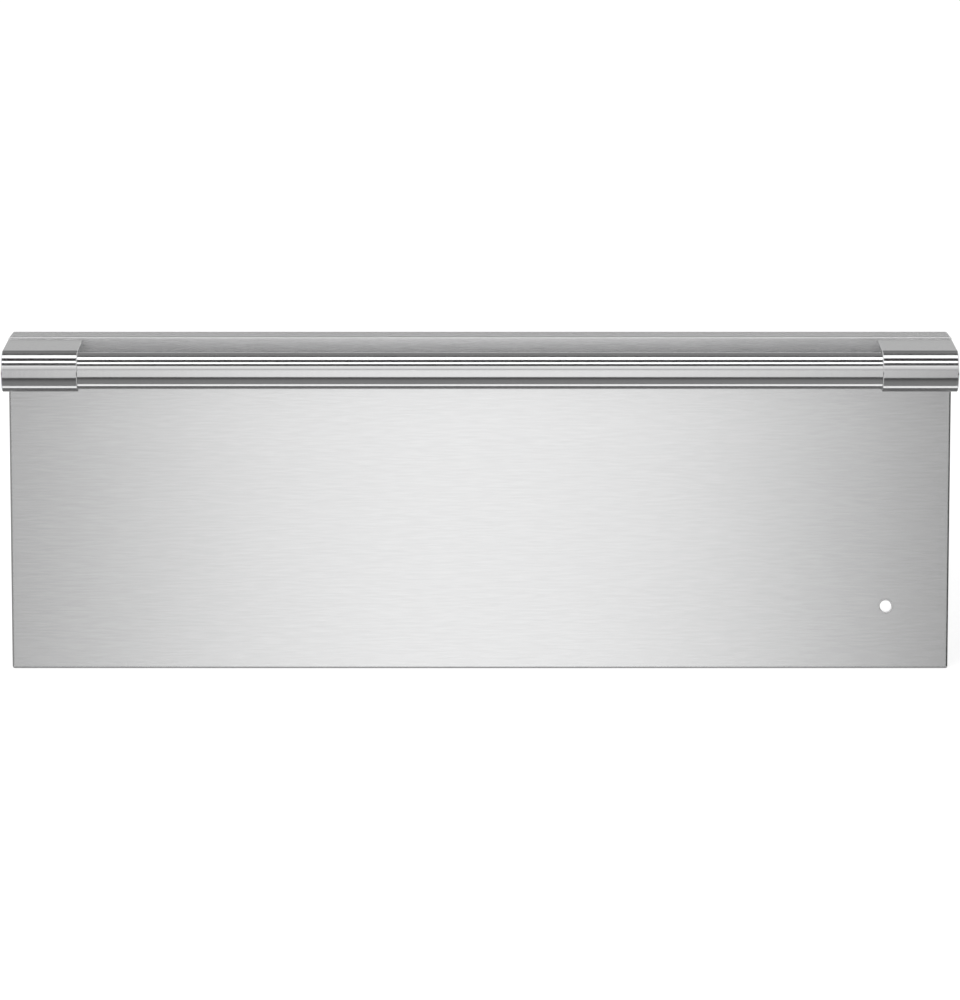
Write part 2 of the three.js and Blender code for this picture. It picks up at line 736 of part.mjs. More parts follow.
/** The cross rail that carries the back of the tub's rim. */
function rearRail() {
  const lowZ = seatZ - RAIL_HEIGHT;
  const webY = carriageRearY - RAIL_SHEET;
  const lipY = carriageRearY - RAIL_FLANGE;
  const shape = outline([
    [carriageRearY, lowZ],
    [carriageRearY, seatZ],
    [lipY, seatZ],
    [lipY, seatZ - RAIL_SHEET],
    [webY, seatZ - RAIL_SHEET],
    [webY, lowZ],
  ]);
  return piece("rear_rail", prismAlongX(shape, across(bayHalf)), zincPlated());
}

/** The heated tub: a pressed box with round corners, hung by its rim. */
function tub() {
  const wallX = across(bayHalf);
  const wallY = [tubFrontY, tubRearY];
  const insideX = across(bayHalf - TUB_SHEET);
  const insideY = [tubFrontY + TUB_SHEET, tubRearY - TUB_SHEET];
  const rimY = [tubFrontY - RAIL_FLANGE, carriageRearY];
  const walls = roundedPrism(wallX, wallY, [tubFloorZ, rimTopZ], TUB_CORNER);
  const rim = roundedPrism(across(railOuterX), rimY, [rimTopZ - TUB_SHEET, rimTopZ], TUB_CORNER);
  const hollow = roundedPrism(insideX, insideY, [tubInsideZ, rimTopZ + OVERCUT], TUB_CORNER - TUB_SHEET);
  return piece("drawer_tub", cut(join(walls, rim), hollow), plainSteel());
}

function carriage() {
  return [...runnerPair("inner"), ...bothSides(sideRail), rearRail(), tub()];
}

// ---- Drawer front -------------------------------------------------------------------------------

/** Where the handle's screws pass the front: two to a cap. */
function handleScrewXs() {
  const capMiddle = panelHalf - CAP_WIDTH / 2;
  const offset = HANDLE_SCREW_SPACING / 2;
  return [-capMiddle - offset, -capMiddle + offset, capMiddle - offset, capMiddle + offset];
}

/** The brushed outer skin: a face with four folded returns, open at the back. */
function frontPanel() {
  const flat = outline([
    [-panelHalf, panelBottomZ],
    [panelHalf, panelBottomZ],
    [panelHalf, panelTopZ],
    [-panelHalf, panelTopZ],
  ]);
  const bends = new THREE.ExtrudeGeometry(flat, {
    depth: FRONT_THICKNESS,
    bevelThickness: FRONT_BEND,
    bevelSize: FRONT_BEND,
    bevelOffset: -FRONT_BEND,
    bevelSegments: 3,
  });
  const outside = bends.applyMatrix4(XZ_OUTLINE).translate(0, frontRearY + FRONT_BEND, 0);
  const behind = box(
    across(panelHalf + OVERCUT),
    [frontRearY, frontRearY + FRONT_THICKNESS],
    [panelBottomZ - OVERCUT, panelTopZ + OVERCUT],
  );
  const hollow = box(
    across(panelHalf - FRONT_SHEET),
    [frontSheetY, frontRearY + OVERCUT],
    [panelBottomZ + FRONT_SHEET, panelTopZ - FRONT_SHEET],
  );
  const through = [frontFaceY - OVERCUT, frontSheetY + OVERCUT];
  const holes = handleScrewXs().map((x) => rod("y", HANDLE_SCREW_RADIUS + FIT, through, [x, handleZ]));
  const lampHole = rod("y", bezelBarrelRadius + FIT, through, [lampX, lampZ]);
  return piece("front_panel", cut(outside, behind, hollow, lampHole, ...holes), brushedSteel());
}

const innerFrontY = frontRearY - INNER_FRONT_SHEET;
const insideHalf = panelHalf - FRONT_SHEET - FIT;
const insideZ = [panelBottomZ + FRONT_SHEET + FIT, panelTopZ - FRONT_SHEET - FIT];

function innerFrontPanel() {
  const sheet = box(across(insideHalf), [innerFrontY, frontRearY], insideZ);
  return piece("inner_front_panel", sheet, plainSteel());
}

function frontInsulation() {
  const y = [frontSheetY + FIT, innerFrontY - FIT];
  const slab = box(across(insideHalf), y, insideZ);
  const headDepth = frontSheetY + FIT + HANDLE_SCREW_HEAD_HEIGHT + FIT;
  const pockets = handleScrewXs().map((x) =>
    rod("y", HANDLE_SCREW_HEAD + FIT, [frontSheetY, headDepth], [x, handleZ]),
  );
  const lamp = rod("y", LAMP_HOLDER_RADIUS + FIT, [y[0] - OVERCUT, y[1] + OVERCUT], [lampX, lampZ]);
  return piece("front_insulation", cut(slab, lamp, ...pockets), blanketWool());
}

/** The seal that closes the drawer against the frame. */
function frontGasket() {
  const middleX = (linerInnerX + caseHalf + FRAME_FLANGE) / 2;
  const topZ = (linerTopZ + CASE_HEIGHT + FRAME_ABOVE) / 2;
  const bottomZ = (linerFloorZ - FRAME_BELOW) / 2;
  const half = GASKET_WIDTH / 2;
  const y = [gasketFrontY, gasketRearY];
  const outside = box(across(middleX + half), y, [bottomZ - half, topZ + half]);
  const inside = box(
    across(middleX - half),
    [gasketFrontY - OVERCUT, gasketRearY + OVERCUT],
    [bottomZ + half, topZ - half],
  );
  return piece("front_gasket", cut(outside, inside), silicone());
}

// ---- Handle -------------------------------------------------------------------------------------

function handleBar() {
  const at = [handleY, handleZ];
  const outside = rod("x", BAR_RADIUS, across(barHalf), at, ROUND);
  const inside = rod("x", BAR_RADIUS - BAR_WALL, across(barHalf + OVERCUT), at, ROUND);
  return piece("handle_bar", cut(outside, inside), brushedSteel());
}

/** An end cap: flat below, round in front, and above a flat that climbs from there to the front. */
function handleCap(name, side) {
  const profile = new THREE.Shape();
  const behindY = frontFaceY + CAP_FILLET + OVERCUT;
  const climb = CAP_RADIUS + CAP_RISE;
  const slope =
    Math.atan2(climb, HANDLE_STANDOFF) - Math.asin(CAP_RADIUS / Math.hypot(climb, HANDLE_STANDOFF));
  profile.moveTo(behindY, handleZ - CAP_RADIUS);
  profile.lineTo(behindY, handleZ + climb + (behindY - frontFaceY) * Math.tan(slope));
  profile.absarc(handleY, handleZ, CAP_RADIUS, Math.PI / 2 + slope, 1.5 * Math.PI);
  const [innerX, outerX] = sided(side, capInnerX, panelHalf);
  const body = prismAlongX(profile, [innerX + CAP_FILLET, outerX - CAP_FILLET], {
    curveSegments: ROUND / 4,
    bevelThickness: CAP_FILLET,
    bevelSize: CAP_FILLET,
    bevelOffset: -CAP_FILLET,
    bevelSegments: 2,
  });
  const reach = 2 * CAP_RADIUS;
  const panel = box(
    [innerX - OVERCUT, outerX + OVERCUT],
    [frontFaceY - FIT, behindY + OVERCUT],
    [handleZ - reach, handleZ + reach],
  );
  const socketSpan = sided(side, capInnerX - OVERCUT, capInnerX + SOCKET_DEPTH);
  const socket = rod("x", BAR_RADIUS + FIT, socketSpan, [handleY, handleZ], ROUND);
  const bite = [frontFaceY - HANDLE_SCREW_BITE - FIT, behindY];
  const taps = handleScrewXs()
    .filter((x) => Math.sign(x) === side)
    .map((x) => rod("y", HANDLE_SCREW_RADIUS + FIT, bite, [x, handleZ]));
  return piece(`${name}_handle_cap`, cut(body, panel, socket, ...taps), brushedSteel());
}

/** A screw from inside the front into an end cap. */
function handleScrew(x, index) {
  const tip = frontFaceY - HANDLE_SCREW_BITE;
  const head = frontSheetY + FIT;
  const profile = [
    [0, tip],
    [HANDLE_SCREW_RADIUS, tip],
    [HANDLE_SCREW_RADIUS, head],
    [HANDLE_SCREW_HEAD, head],
    [HANDLE_SCREW_HEAD, head + HANDLE_SCREW_HEAD_HEIGHT],
    [0, head + HANDLE_SCREW_HEAD_HEIGHT],
  ];
  return piece(`handle_screw_${index + 1}`, turned(profile).translate(x, 0, handleZ), zincPlated());
}

function handle() {
  return [handleBar(), ...bothSides(handleCap), ...handleScrewXs().map(handleScrew)];
}

// ---- Indicator light ----------------------------------------------------------------------------

const bezelBoreRadius = LENS_RADIUS + FIT;
const bezelBarrelRadius = bezelBoreRadius + BEZEL_WALL;
const bezelRimRadius = bezelBarrelRadius + FIT + BEZEL_RIM;
const barrelEndY = frontSheetY + LAMP_DEPTH;

function lampBezel() {
  const front = frontFaceY - FIT - BEZEL_PROUD;
  const at = [lampX, lampZ];
  const rim = rod("y", bezelRimRadius, [front, frontFaceY - FIT], at);
  const barrel = rod("y", bezelBarrelRadius, [frontFaceY - FIT - BEZEL_PROUD / 2, barrelEndY], at);
  const bore = rod("y", bezelBoreRadius, [front - OVERCUT, barrelEndY + OVERCUT], at);
  return piece("lamp_bezel", cut(join(rim, barrel), bore), plainSteel());
}

function lampLens() {
  const front = frontFaceY - FIT - BEZEL_PROUD - LENS_PROUD;
  const profile = [
    [0, front],
    [LENS_FLAT_RADIUS, front + LENS_SHOULDER],
    [LENS_RADIUS, front + LENS_PROUD],
    [LENS_RADIUS, barrelEndY],
    [0, barrelEndY],
  ];
  return piece("lamp_lens", turned(profile).translate(lampX, 0, lampZ), whiteLens());
}

/** The lamp's housing, between the bezel and the inner front panel. */
function lampHolder() {
  const span = [barrelEndY + FIT, innerFrontY - FIT];
  return piece("lamp_holder", rod("y", LAMP_HOLDER_RADIUS, span, [lampX, lampZ]), blackPlastic());
}

// ---- Console, control and knob ------------------------------------------------------------------

/** Left and right edges of each port, shifted along X. */
function ventPorts(shift) {
  const first = ventX - ((VENT_PORTS - 1) * VENT_PITCH) / 2;
  const middles = Array.from({ length: VENT_PORTS }, (_, k) => first + k * VENT_PITCH + shift);
  return middles.map((x) => [x - VENT_PORT_WIDTH / 2, x + VENT_PORT_WIDTH / 2]);
}

const ventY = [controlY - VENT_PORT_LENGTH / 2, controlY + VENT_PORT_LENGTH / 2];
const guideX = ((VENT_PORTS - 1) * VENT_PITCH) / 2 + VENT_GUIDE;

/** The ledge between the front and the tub, folded down at both edges. */
function ledge() {
  const lowZ = seatZ - CONSOLE_SKIRT;
  const shape = outline([
    [consoleFrontY, lowZ],
    [consoleFrontY, seatZ],
    [consoleRearY, seatZ],
    [consoleRearY, lowZ],
    [consoleRearY - CONSOLE_SHEET, lowZ],
    [consoleRearY - CONSOLE_SHEET, consoleUnderZ],
    [consoleFrontY + CONSOLE_SHEET, consoleUnderZ],
    [consoleFrontY + CONSOLE_SHEET, lowZ],
  ]);
  const folded = prismAlongX(shape, across(bayHalf));
  const through = [consoleUnderZ - OVERCUT, seatZ + OVERCUT];
  const bushHole = rod("z", BUSH_RADIUS + FIT, through, [controlX, controlY]);
  const ports = ventPorts(0).map((x) => box(x, ventY, through));
  const rivetHoles = across(guideX).map((x) =>
    rod("z", RIVET_RADIUS + FIT, through, [ventX + x, controlY]),
  );
  return piece("console", cut(folded, bushHole, ...ports, ...rivetHoles), plainSteel());
}

/** The heat control under the console, with a hollow bush for the knob's shaft. */
function heatControl() {
  const x = [controlX - CONTROL_WIDTH / 2, controlX + CONTROL_WIDTH / 2];
  const y = [controlY - CONTROL_DEPTH / 2, controlY + CONTROL_DEPTH / 2];
  const at = [controlX, controlY];
  const body = box(x, y, [controlBottomZ, controlTopZ]);
  const bush = rod("z", BUSH_RADIUS, [controlTopZ - OVERCUT, bushTopZ - KNOB_LIFT], at);
  const bore = rod("z", SHAFT_RADIUS + FIT, [controlTopZ - SHAFT_ENGAGED - FIT, bushTopZ + OVERCUT], at);
  return piece("heat_control", cut(join(body, bush), bore), blackPlastic());
}

function knobShaft() {
  const span = [controlTopZ - SHAFT_ENGAGED, knobTopZ - KNOB_SKIRT];
  return piece("knob_shaft", rod("z", SHAFT_RADIUS, span, [controlX, controlY]), zincPlated());
}

/** A skirted knob, hollow under its skirt to clear the bush. */
function knob() {
  const socketTopZ = knobTopZ - KNOB_SKIRT + FIT;
  const profile = [
    [0, socketTopZ],
    [SHAFT_RADIUS + FIT, socketTopZ],
    [SHAFT_RADIUS + FIT, bushTopZ],
    [BUSH_RADIUS + FIT, bushTopZ],
    [BUSH_RADIUS + FIT, knobBottomZ],
    [KNOB_RADIUS, knobBottomZ],
    [KNOB_RADIUS, knobBottomZ + KNOB_SKIRT],
    [KNOB_GRIP_RADIUS, knobBottomZ + KNOB_SKIRT],
    [KNOB_GRIP_RADIUS, knobTopZ],
    [0, knobTopZ],
  ];
  const geometry = turnedUpright(profile, ROUND).translate(controlX, controlY, 0);
  return piece("heat_knob", geometry, blackPlastic());
}

function controls() {
  return [ledge(), heatControl(), knobShaft(), knob()];
}

// ---- Moisture vent ------------------------------------------------------------------------------

/** The slider over the ports: shut at rest, half a pitch away from open. */
function ventSlider() {
  const low = seatZ + FIT;
  const high = low + VENT_SHEET;
  const reach = guideX + RIVET_RADIUS + VENT_STROKE + VENT_MARGIN;
  const y = [ventY[0] - VENT_MARGIN, ventY[1] + VENT_MARGIN];
  const sheet = box([ventX - reach, ventX + reach], y, [low, high]);
  const through = [low - OVERCUT, high + OVERCUT];
  const ports = ventPorts(-VENT_STROKE).slice(1);
  const cuts = ports.map((x) => box(x, ventY, through));
  const slotHalf = RIVET_RADIUS + FIT;
  const slots = across(guideX).map((x) =>
    box(
      [ventX + x - VENT_STROKE - slotHalf, ventX + x + slotHalf],
      [controlY - slotHalf, controlY + slotHalf],
      through,
    ),
  );
  const tab = box(
    [ventX - VENT_TAB_WIDTH / 2, ventX + VENT_TAB_WIDTH / 2],
    [y[1] - VENT_TAB_THICKNESS, y[1]],
    [low, high + VENT_TAB_HEIGHT],
  );
  return piece("vent_slider", cut(join(sheet, tab), ...cuts, ...slots), brushedSteel());
}

/** A rivet that guides the slider: its head above, its tail under the console. */
function ventRivet(name, side) {
  const head = seatZ + FIT + VENT_SHEET + FIT;
  const profile = [
    [0, consoleUnderZ - RIVET_TAIL],
    [RIVET_RADIUS, consoleUnderZ - RIVET_TAIL],
    [RIVET_RADIUS, head],
    [RIVET_HEAD, head],
    [RIVET_HEAD, head + RIVET_HEAD_HEIGHT],
    [0, head + RIVET_HEAD_HEIGHT],
  ];
  const geometry = turnedUpright(profile).translate(ventX + side * guideX, controlY, 0);
  return piece(`${name}_vent_rivet`, geometry, zincPlated());
}

// ---- Rack ---------------------------------------------------------------------------------------

/** A wire rack for the left half of the tub, on two bent legs. */
function rack() {
  const wallX = bayHalf - TUB_SHEET - RACK_SHARE_GAP;
  const [leftX, rightX] = [-wallX, -RACK_SHARE_GAP / 2];
  const frontY = tubFrontY + TUB_SHEET + RACK_SHARE_GAP;
  const backY = tubRearY - TUB_SHEET - RACK_SHARE_GAP;
  const topZ = tubInsideZ + RACK_HEIGHT - RACK_FRAME_RADIUS;
  const footZ = tubInsideZ + FIT + RACK_FOOT_RADIUS;
  const frameX = [leftX + RACK_FRAME_RADIUS, rightX - RACK_FRAME_RADIUS];
  const frameY = [frontY + RACK_FRAME_RADIUS, backY - RACK_FRAME_RADIUS];
  const longX = [frameX[0] - RACK_OVERRUN, frameX[1] + RACK_OVERRUN];
  const longY = [frameY[0] - RACK_OVERRUN, frameY[1] + RACK_OVERRUN];
  const legYs = [frameY[0] + RACK_PITCH, frameY[1] - RACK_PITCH];
  const footY = [legYs[0] - RACK_OVERRUN, legYs[1] + RACK_OVERRUN];
  const rails = frameY.map((y) => rod("x", RACK_FRAME_RADIUS, longX, [y, topZ], RACK_SIDES));
  const sides = frameX.map((x) => rod("y", RACK_FRAME_RADIUS, longY, [x, topZ], RACK_SIDES));
  const feet = frameX.map((x) => rod("y", RACK_FOOT_RADIUS, footY, [x, footZ], RACK_SIDES));
  const legs = frameX.flatMap((x) =>
    legYs.map((y) => rod("z", RACK_LEG_RADIUS, [footZ, topZ], [x, y], RACK_SIDES)),
  );
  const count = Math.floor((frameX[1] - frameX[0]) / RACK_PITCH);
  const step = (frameX[1] - frameX[0]) / count;
  const wires = Array.from({ length: count - 1 }, (_, k) =>
    rod("y", RACK_WIRE_RADIUS, frameY, [frameX[0] + (k + 1) * step, topZ], RACK_SIDES),
  );
  return piece("rack", join(...rails, ...sides, ...feet, ...legs, ...wires), zincPlated());
}

// ---- The whole object ---------------------------------------------------------------------------

const warmingDrawer = group(
  group(
    ...caseShell(),
    ...insulation(),
    ...liner(),
    ...frontFrame(),
    ...heating(),
    terminalBlock(),
    terminalCover(),
    cableGland(),
    antiTipBracket(),
    ...runnerPair("outer"),
  ),
  group(...runnerPair("middle")),
  group(
    ...carriage(),
    frontPanel(),
    innerFrontPanel(),
    frontInsulation(),
    frontGasket(),
    ...handle(),
    lampBezel(),
    lampLens(),
    lampHolder(),
    ...controls(),
    ventSlider(),
    ...bothSides(ventRivet),
    rack(),
  ),
);
warmingDrawer.name = "warming_drawer";

export default warmingDrawer;
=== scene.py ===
# %% [markdown]
# # A built-in warming drawer in Blender
#
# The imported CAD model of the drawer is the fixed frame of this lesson. Every length is in metres, +Z is
# up, and the drawer opens towards -Y. Sheet metal whose shape is already right stays as the CAD made it
# and gets a finish. What the eye catches on, such as the folded front, the round handle, the lamp, the
# knob and the tub, is modelled again here with smooth curves, in the place the CAD gives.

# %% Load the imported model
from math import atan2, cos, degrees, pi, radians, sin

import bmesh
import bpy
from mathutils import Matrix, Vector


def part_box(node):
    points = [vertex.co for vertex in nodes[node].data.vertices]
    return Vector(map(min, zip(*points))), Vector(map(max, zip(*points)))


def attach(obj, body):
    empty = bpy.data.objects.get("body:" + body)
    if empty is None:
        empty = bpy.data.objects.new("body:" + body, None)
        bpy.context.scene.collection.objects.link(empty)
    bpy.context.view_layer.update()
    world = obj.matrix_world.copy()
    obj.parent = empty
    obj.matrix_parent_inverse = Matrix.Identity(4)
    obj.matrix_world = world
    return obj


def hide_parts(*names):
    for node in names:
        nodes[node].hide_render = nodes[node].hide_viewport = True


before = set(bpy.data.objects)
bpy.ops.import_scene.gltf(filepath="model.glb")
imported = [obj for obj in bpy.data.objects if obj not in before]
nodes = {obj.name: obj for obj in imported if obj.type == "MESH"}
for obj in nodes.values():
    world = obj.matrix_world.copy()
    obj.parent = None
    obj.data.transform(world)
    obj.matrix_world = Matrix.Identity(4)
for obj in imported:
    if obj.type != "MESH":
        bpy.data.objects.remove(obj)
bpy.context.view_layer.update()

# %% [markdown]
# ## Small helpers
#
# An operator acts on all that is selected, so each step starts with nothing selected. In edit mode,
# faces and edges are chosen in code by where they are, just as a modeller would box-select them.

# %% Selecting
def deselect():
    if bpy.context.mode != "OBJECT":
        bpy.ops.object.mode_set(mode="OBJECT")
    bpy.ops.object.select_all(action="DESELECT")


def only(piece):
    deselect()
    piece.select_set(True)
    bpy.context.view_layer.objects.active = piece


def edit(piece):
    only(piece)
    bpy.ops.object.mode_set(mode="EDIT")
    bpy.ops.mesh.select_all(action="DESELECT")


def choose_all():
    bpy.ops.mesh.select_all(action="SELECT")


def close(outwards=False):
    """Leaves edit mode, and first turns every face outwards if asked."""
    if outwards:
        choose_all()
        bpy.ops.mesh.normals_make_consistent(inside=False)
    bpy.ops.object.mode_set(mode="OBJECT")


print("selection helpers ready")

# %% Choosing vertices, edges and faces by place
def choose(piece, kind, test):
    """Selects the vertices, edges or faces for which test is true, and returns how many they are."""
    bpy.ops.mesh.select_mode(type=kind)
    bpy.ops.mesh.select_all(action="DESELECT")
    mesh = bmesh.from_edit_mesh(piece.data)
    items = {"VERT": mesh.verts, "EDGE": mesh.edges, "FACE": mesh.faces}[kind]
    found = [item for item in items if test(item)]
    for item in found:
        item.select_set(True)
    mesh.select_flush_mode()
    bmesh.update_edit_mesh(piece.data)
    return len(found)


def middle(item):
    """The middle of an edge or a face."""
    points = [v.co for v in item.verts]
    return sum(points, Vector()) / len(points)


def near(a, b, reach=1e-5):
    return abs(a - b) < reach


def along(edge, axis):
    """Whether an edge runs along an axis, 0, 1 or 2."""
    run = edge.verts[1].co - edge.verts[0].co
    return abs(run[axis]) > 0.999 * run.length


def box_of(node):
    """A CAD node's lowest corner, its highest corner and its centre."""
    low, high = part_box(node)
    return low, high, (low + high) / 2


print("choosing helpers ready")

# %% Starting shapes
def apply_place(piece):
    only(piece)
    bpy.ops.object.transform_apply(location=True, rotation=True, scale=True)


def block(name, low, high):
    """A cube primitive stretched between two corners."""
    low, high = Vector(low), Vector(high)
    deselect()
    bpy.ops.mesh.primitive_cube_add(size=1, location=(low + high) / 2)
    piece = bpy.context.object
    piece.name = name
    piece.scale = high - low
    apply_place(piece)
    return piece


TURN = {"X": (0, pi / 2, 0), "Y": (pi / 2, 0, 0), "Z": (0, 0, 0)}


def drum(name, axis, radius, low, high, at, sides=48):
    """A cylinder primitive on an axis from low to high, through the other two coordinates."""
    span = (low + high) / 2
    place = {"X": (span, *at), "Y": (at[0], span, at[1]), "Z": (*at, span)}[axis]
    deselect()
    bpy.ops.mesh.primitive_cylinder_add(
        vertices=sides, radius=radius, depth=high - low, location=place, rotation=TURN[axis]
    )
    piece = bpy.context.object
    piece.name = name
    apply_place(piece)
    return piece


print("starting shapes ready")

# %% Shaping in edit mode
def round_off(offset, segments, affect="EDGES"):
    """Bevels what is chosen: edges, or with VERTICES the corners of a flat face."""
    bpy.ops.mesh.bevel(offset=offset, segments=segments, affect=affect)


def draw_out(*offset):
    """Extrudes what is chosen by an offset."""
    bpy.ops.mesh.extrude_region_move(TRANSFORM_OT_translate={"value": offset})


def open_up(piece, test):
    """Deletes the faces for which test is true, and stays in edit mode."""
    edit(piece)
    choose(piece, "FACE", test)
    bpy.ops.mesh.delete(type="FACE")


def round_block(name, low, high, radius, axis=2, segments=6):
    """A block whose edges along one axis are rounded, or all of them where axis is None."""
    piece = block(name, low, high)
    edit(piece)
    choose(piece, "EDGE", lambda e: axis is None or along(e, axis))
    round_off(radius, segments)
    close()
    return piece


print("shaping helpers ready")

# %% Modifiers, joining and copying
def modify(piece, kind, **settings):
    """Adds one modifier and applies it."""
    only(piece)
    modifier = piece.modifiers.new(kind.title(), kind)
    for key, value in settings.items():
        setattr(modifier, key, value)
    bpy.ops.object.modifier_apply(modifier=modifier.name)


def thicken(piece, sheet):
    """Gives an open shell the thickness of its sheet, inwards."""
    modify(piece, "SOLIDIFY", thickness=sheet, offset=-1)


def carve(piece, *cutters):
    """Cuts other pieces out of this one and removes them."""
    for cutter in cutters:
        modify(piece, "BOOLEAN", operation="DIFFERENCE", object=cutter, solver="EXACT")
        bpy.data.objects.remove(cutter)


def joined(name, pieces):
    deselect()
    for piece in pieces:
        piece.select_set(True)
    bpy.context.view_layer.objects.active = pieces[0]
    if len(pieces) > 1:
        bpy.ops.object.join()
    pieces[0].name = name
    return pieces[0]


def copied(piece, place, turn=(0, 0, 0)):
    """A copy with its own mesh, turned and then moved to a place."""
    only(piece)
    bpy.ops.object.duplicate(linked=False)
    twin = bpy.context.object
    twin.rotation_euler = turn
    twin.location = place
    apply_place(twin)
    return twin


print("modelling helpers ready")

# %% [markdown]
# A folded or turned piece has large flat faces beside narrow curved ones. Weighted Normal lets the
# large faces keep their own direction, so that only the curves shade softly.

# %% Finishing a piece
SMOOTH_UNDER = radians(32)


def finish(piece, name, body, material, replaces=(), flat=False):
    """Shades a piece, gives it its finish, and ties it to the frame."""
    only(piece)
    piece.name = name
    piece.data.name = name
    if not flat:
        bpy.ops.object.shade_smooth_by_angle(angle=SMOOTH_UNDER)
        modify(piece, "WEIGHTED_NORMAL", keep_sharp=True, weight=100)
    piece.data.materials.clear()
    piece.data.materials.append(material)
    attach(piece, body)
    if replaces:
        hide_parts(*replaces)
    size = [round(1000 * d, 1) for d in piece.dimensions]
    print(f"{name}: {len(piece.data.polygons)} faces, {size} mm")


# %% [markdown]
# ## The camera
#
# The photograph is taken from straight in front and a little above: the top of the front shows as a
# thin strip, and the handle, which stands nearer to the camera, looks a little lower and larger than
# the front behind it. Those facts give the height and the distance. The camera looks at the middle of
# the front, and its long lens keeps the sides of the front nearly upright.

# %% Camera
PANEL_LOW, PANEL_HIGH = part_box("front_panel")
FACE_Y = PANEL_LOW.y
CAMERA_DISTANCE = 4.2
CAMERA_HEIGHT = 0.7326
AIM_HEIGHT = 0.1205
IMAGE_HEIGHT = 1000
LENS_PIXELS = 5277

camera_data = bpy.data.cameras.new("studio_camera")
camera_data.sensor_width = 36
camera_data.lens = LENS_PIXELS / IMAGE_HEIGHT * camera_data.sensor_width
camera_data.clip_end = 100
camera = bpy.data.objects.new("studio_camera", camera_data)
camera.location = (0, FACE_Y - CAMERA_DISTANCE, CAMERA_HEIGHT)
pitch = atan2(CAMERA_HEIGHT - AIM_HEIGHT, CAMERA_DISTANCE)
camera.rotation_euler = (pi / 2 - pitch, 0, 0)
bpy.context.scene.collection.objects.link(camera)
bpy.context.scene.camera = camera
bpy.context.scene.view_settings.view_transform = "Standard"
print(f"lens {camera_data.lens:.1f} mm, looking down {degrees(pitch):.2f} degrees")

# %% [markdown]
# ## The studio
#
# Steel has hardly a colour of its own: it shows the room. A studio for steel is white, with softboxes
# and black flags in long rows, and the round handle turns each row into one thin bright or dark line.
# The rows are drawn here in the world, by the angle at which they stand over the front: 0 degrees is
# straight ahead of the drawer, 90 is overhead, 180 is behind it and -90 is the ground. Soft matte
# surfaces are lit by the plain pale world and one large lamp instead.

# %% Node helpers
def feed(tree, node, inputs):
    """Sets sockets, by name or number, to values or to the outputs of other nodes."""
    for key, value in inputs.items():
        socket = node.inputs[key]
        if isinstance(value, bpy.types.NodeSocket):
            tree.links.new(value, socket)
        elif socket.type == "RGBA":
            socket.default_value = (*value, 1)
        else:
            socket.default_value = value


def put(tree, kind, inputs=None, **settings):
    """A new node with its settings and inputs."""
    node = tree.nodes.new(kind)
    for key, value in settings.items():
        setattr(node, key, value)
    feed(tree, node, inputs or {})
    return node


def sums(tree, operation, *values):
    """A Math node that takes numbers or sockets, and gives its output."""
    return put(tree, "ShaderNodeMath", dict(enumerate(values)), operation=operation).outputs[0]


def ramp(tree, factor, stops):
    """A Color Ramp from (place, grey or colour) stops."""
    node = put(tree, "ShaderNodeValToRGB", {0: factor})
    elements = node.color_ramp.elements
    while len(elements) < len(stops):
        elements.new(1)
    for element, (place, tone) in zip(elements, stops):
        element.position = place
        element.color = (*tone, 1) if isinstance(tone, tuple) else (tone, tone, tone, 1)
    return node.outputs[0]


def blend(tree, factor, a, b):
    """Mixes two colours."""
    return put(tree, "ShaderNodeMix", {0: factor, 6: a, 7: b}, data_type="RGBA").outputs[2]


print("node helpers ready")

# %% World: softboxes and flags in rows
ROWS = [  # degrees over the front, light
    (-168, 0.48), (-150, 0.1), (-104, 0.07), (-102, 0.6), (-89, 0.6), (-86, 0.12), (-58, 0.11),
    (-31, 0), (12, 0), (14, 0.34), (17, 0.24), (19.5, 0.4), (29, 0.42), (31, 0.56), (34.5, 0.6),
    (37, 0.03), (51, 0.02), (53, 0.85), (56, 1), (61, 0.95), (63.5, 0.01), (80.5, 0.01), (83, 0.7),
    (86, 1), (101.5, 0.95), (104, 0.05), (112, 0.03), (122, 0.12), (161, 0.1), (163, 0.22),
    (168, 0.23), (172, 0.44),
]
AHEAD = [(-35, 0), (-30, 1), (10, 1), (14, 0)]
ACROSS = [  # how far to the side, light
    (-0.25, 0.24), (-0.16, 0.22), (-0.12, 0.24), (-0.1, 0.32), (-0.085, 0.45), (-0.07, 0.64),
    (-0.055, 0.81), (-0.04, 0.91), (-0.02, 0.98), (0, 1), (0.02, 0.975), (0.04, 0.89),
    (0.055, 0.76), (0.07, 0.57), (0.085, 0.37), (0.1, 0.24), (0.13, 0.14), (0.25, 0.13),
]
AHEAD_LIGHT = 0.645

world = bpy.data.worlds.new("studio")
bpy.context.scene.world = world
world.use_nodes = True
world.cycles.sampling_method = "NONE"
sky = world.node_tree
sky.nodes.clear()
direction = put(sky, "ShaderNodeTexCoord").outputs["Generated"]
x, y, z = put(sky, "ShaderNodeSeparateXYZ", {0: direction}).outputs
over_front = sums(sky, "ARCTAN2", z, sums(sky, "MULTIPLY", y, -1))
turn = sums(sky, "MULTIPLY_ADD", over_front, 0.5 / pi, 0.5)


def by_angle(stops):
    """A ramp around the room, its places given in degrees over the front."""
    return ramp(sky, turn, [((angle + 180) / 360, light) for angle, light in stops])


aside = sums(sky, "MULTIPLY_ADD", x, 2, 0.5)
across = ramp(sky, aside, [(2 * side + 0.5, light) for side, light in ACROSS])
ahead = sums(sky, "MULTIPLY", by_angle(AHEAD), across)
rows = sums(sky, "ADD", by_angle(ROWS), sums(sky, "MULTIPLY", ahead, AHEAD_LIGHT))
print("rows:", len(ROWS), "across:", len(ACROSS))

# %% [markdown]
# The folded sides of the front face the walls of the room. Two more black flags stand there, at the
# height of the drawer, and draw a thin dark line down each side of the front.

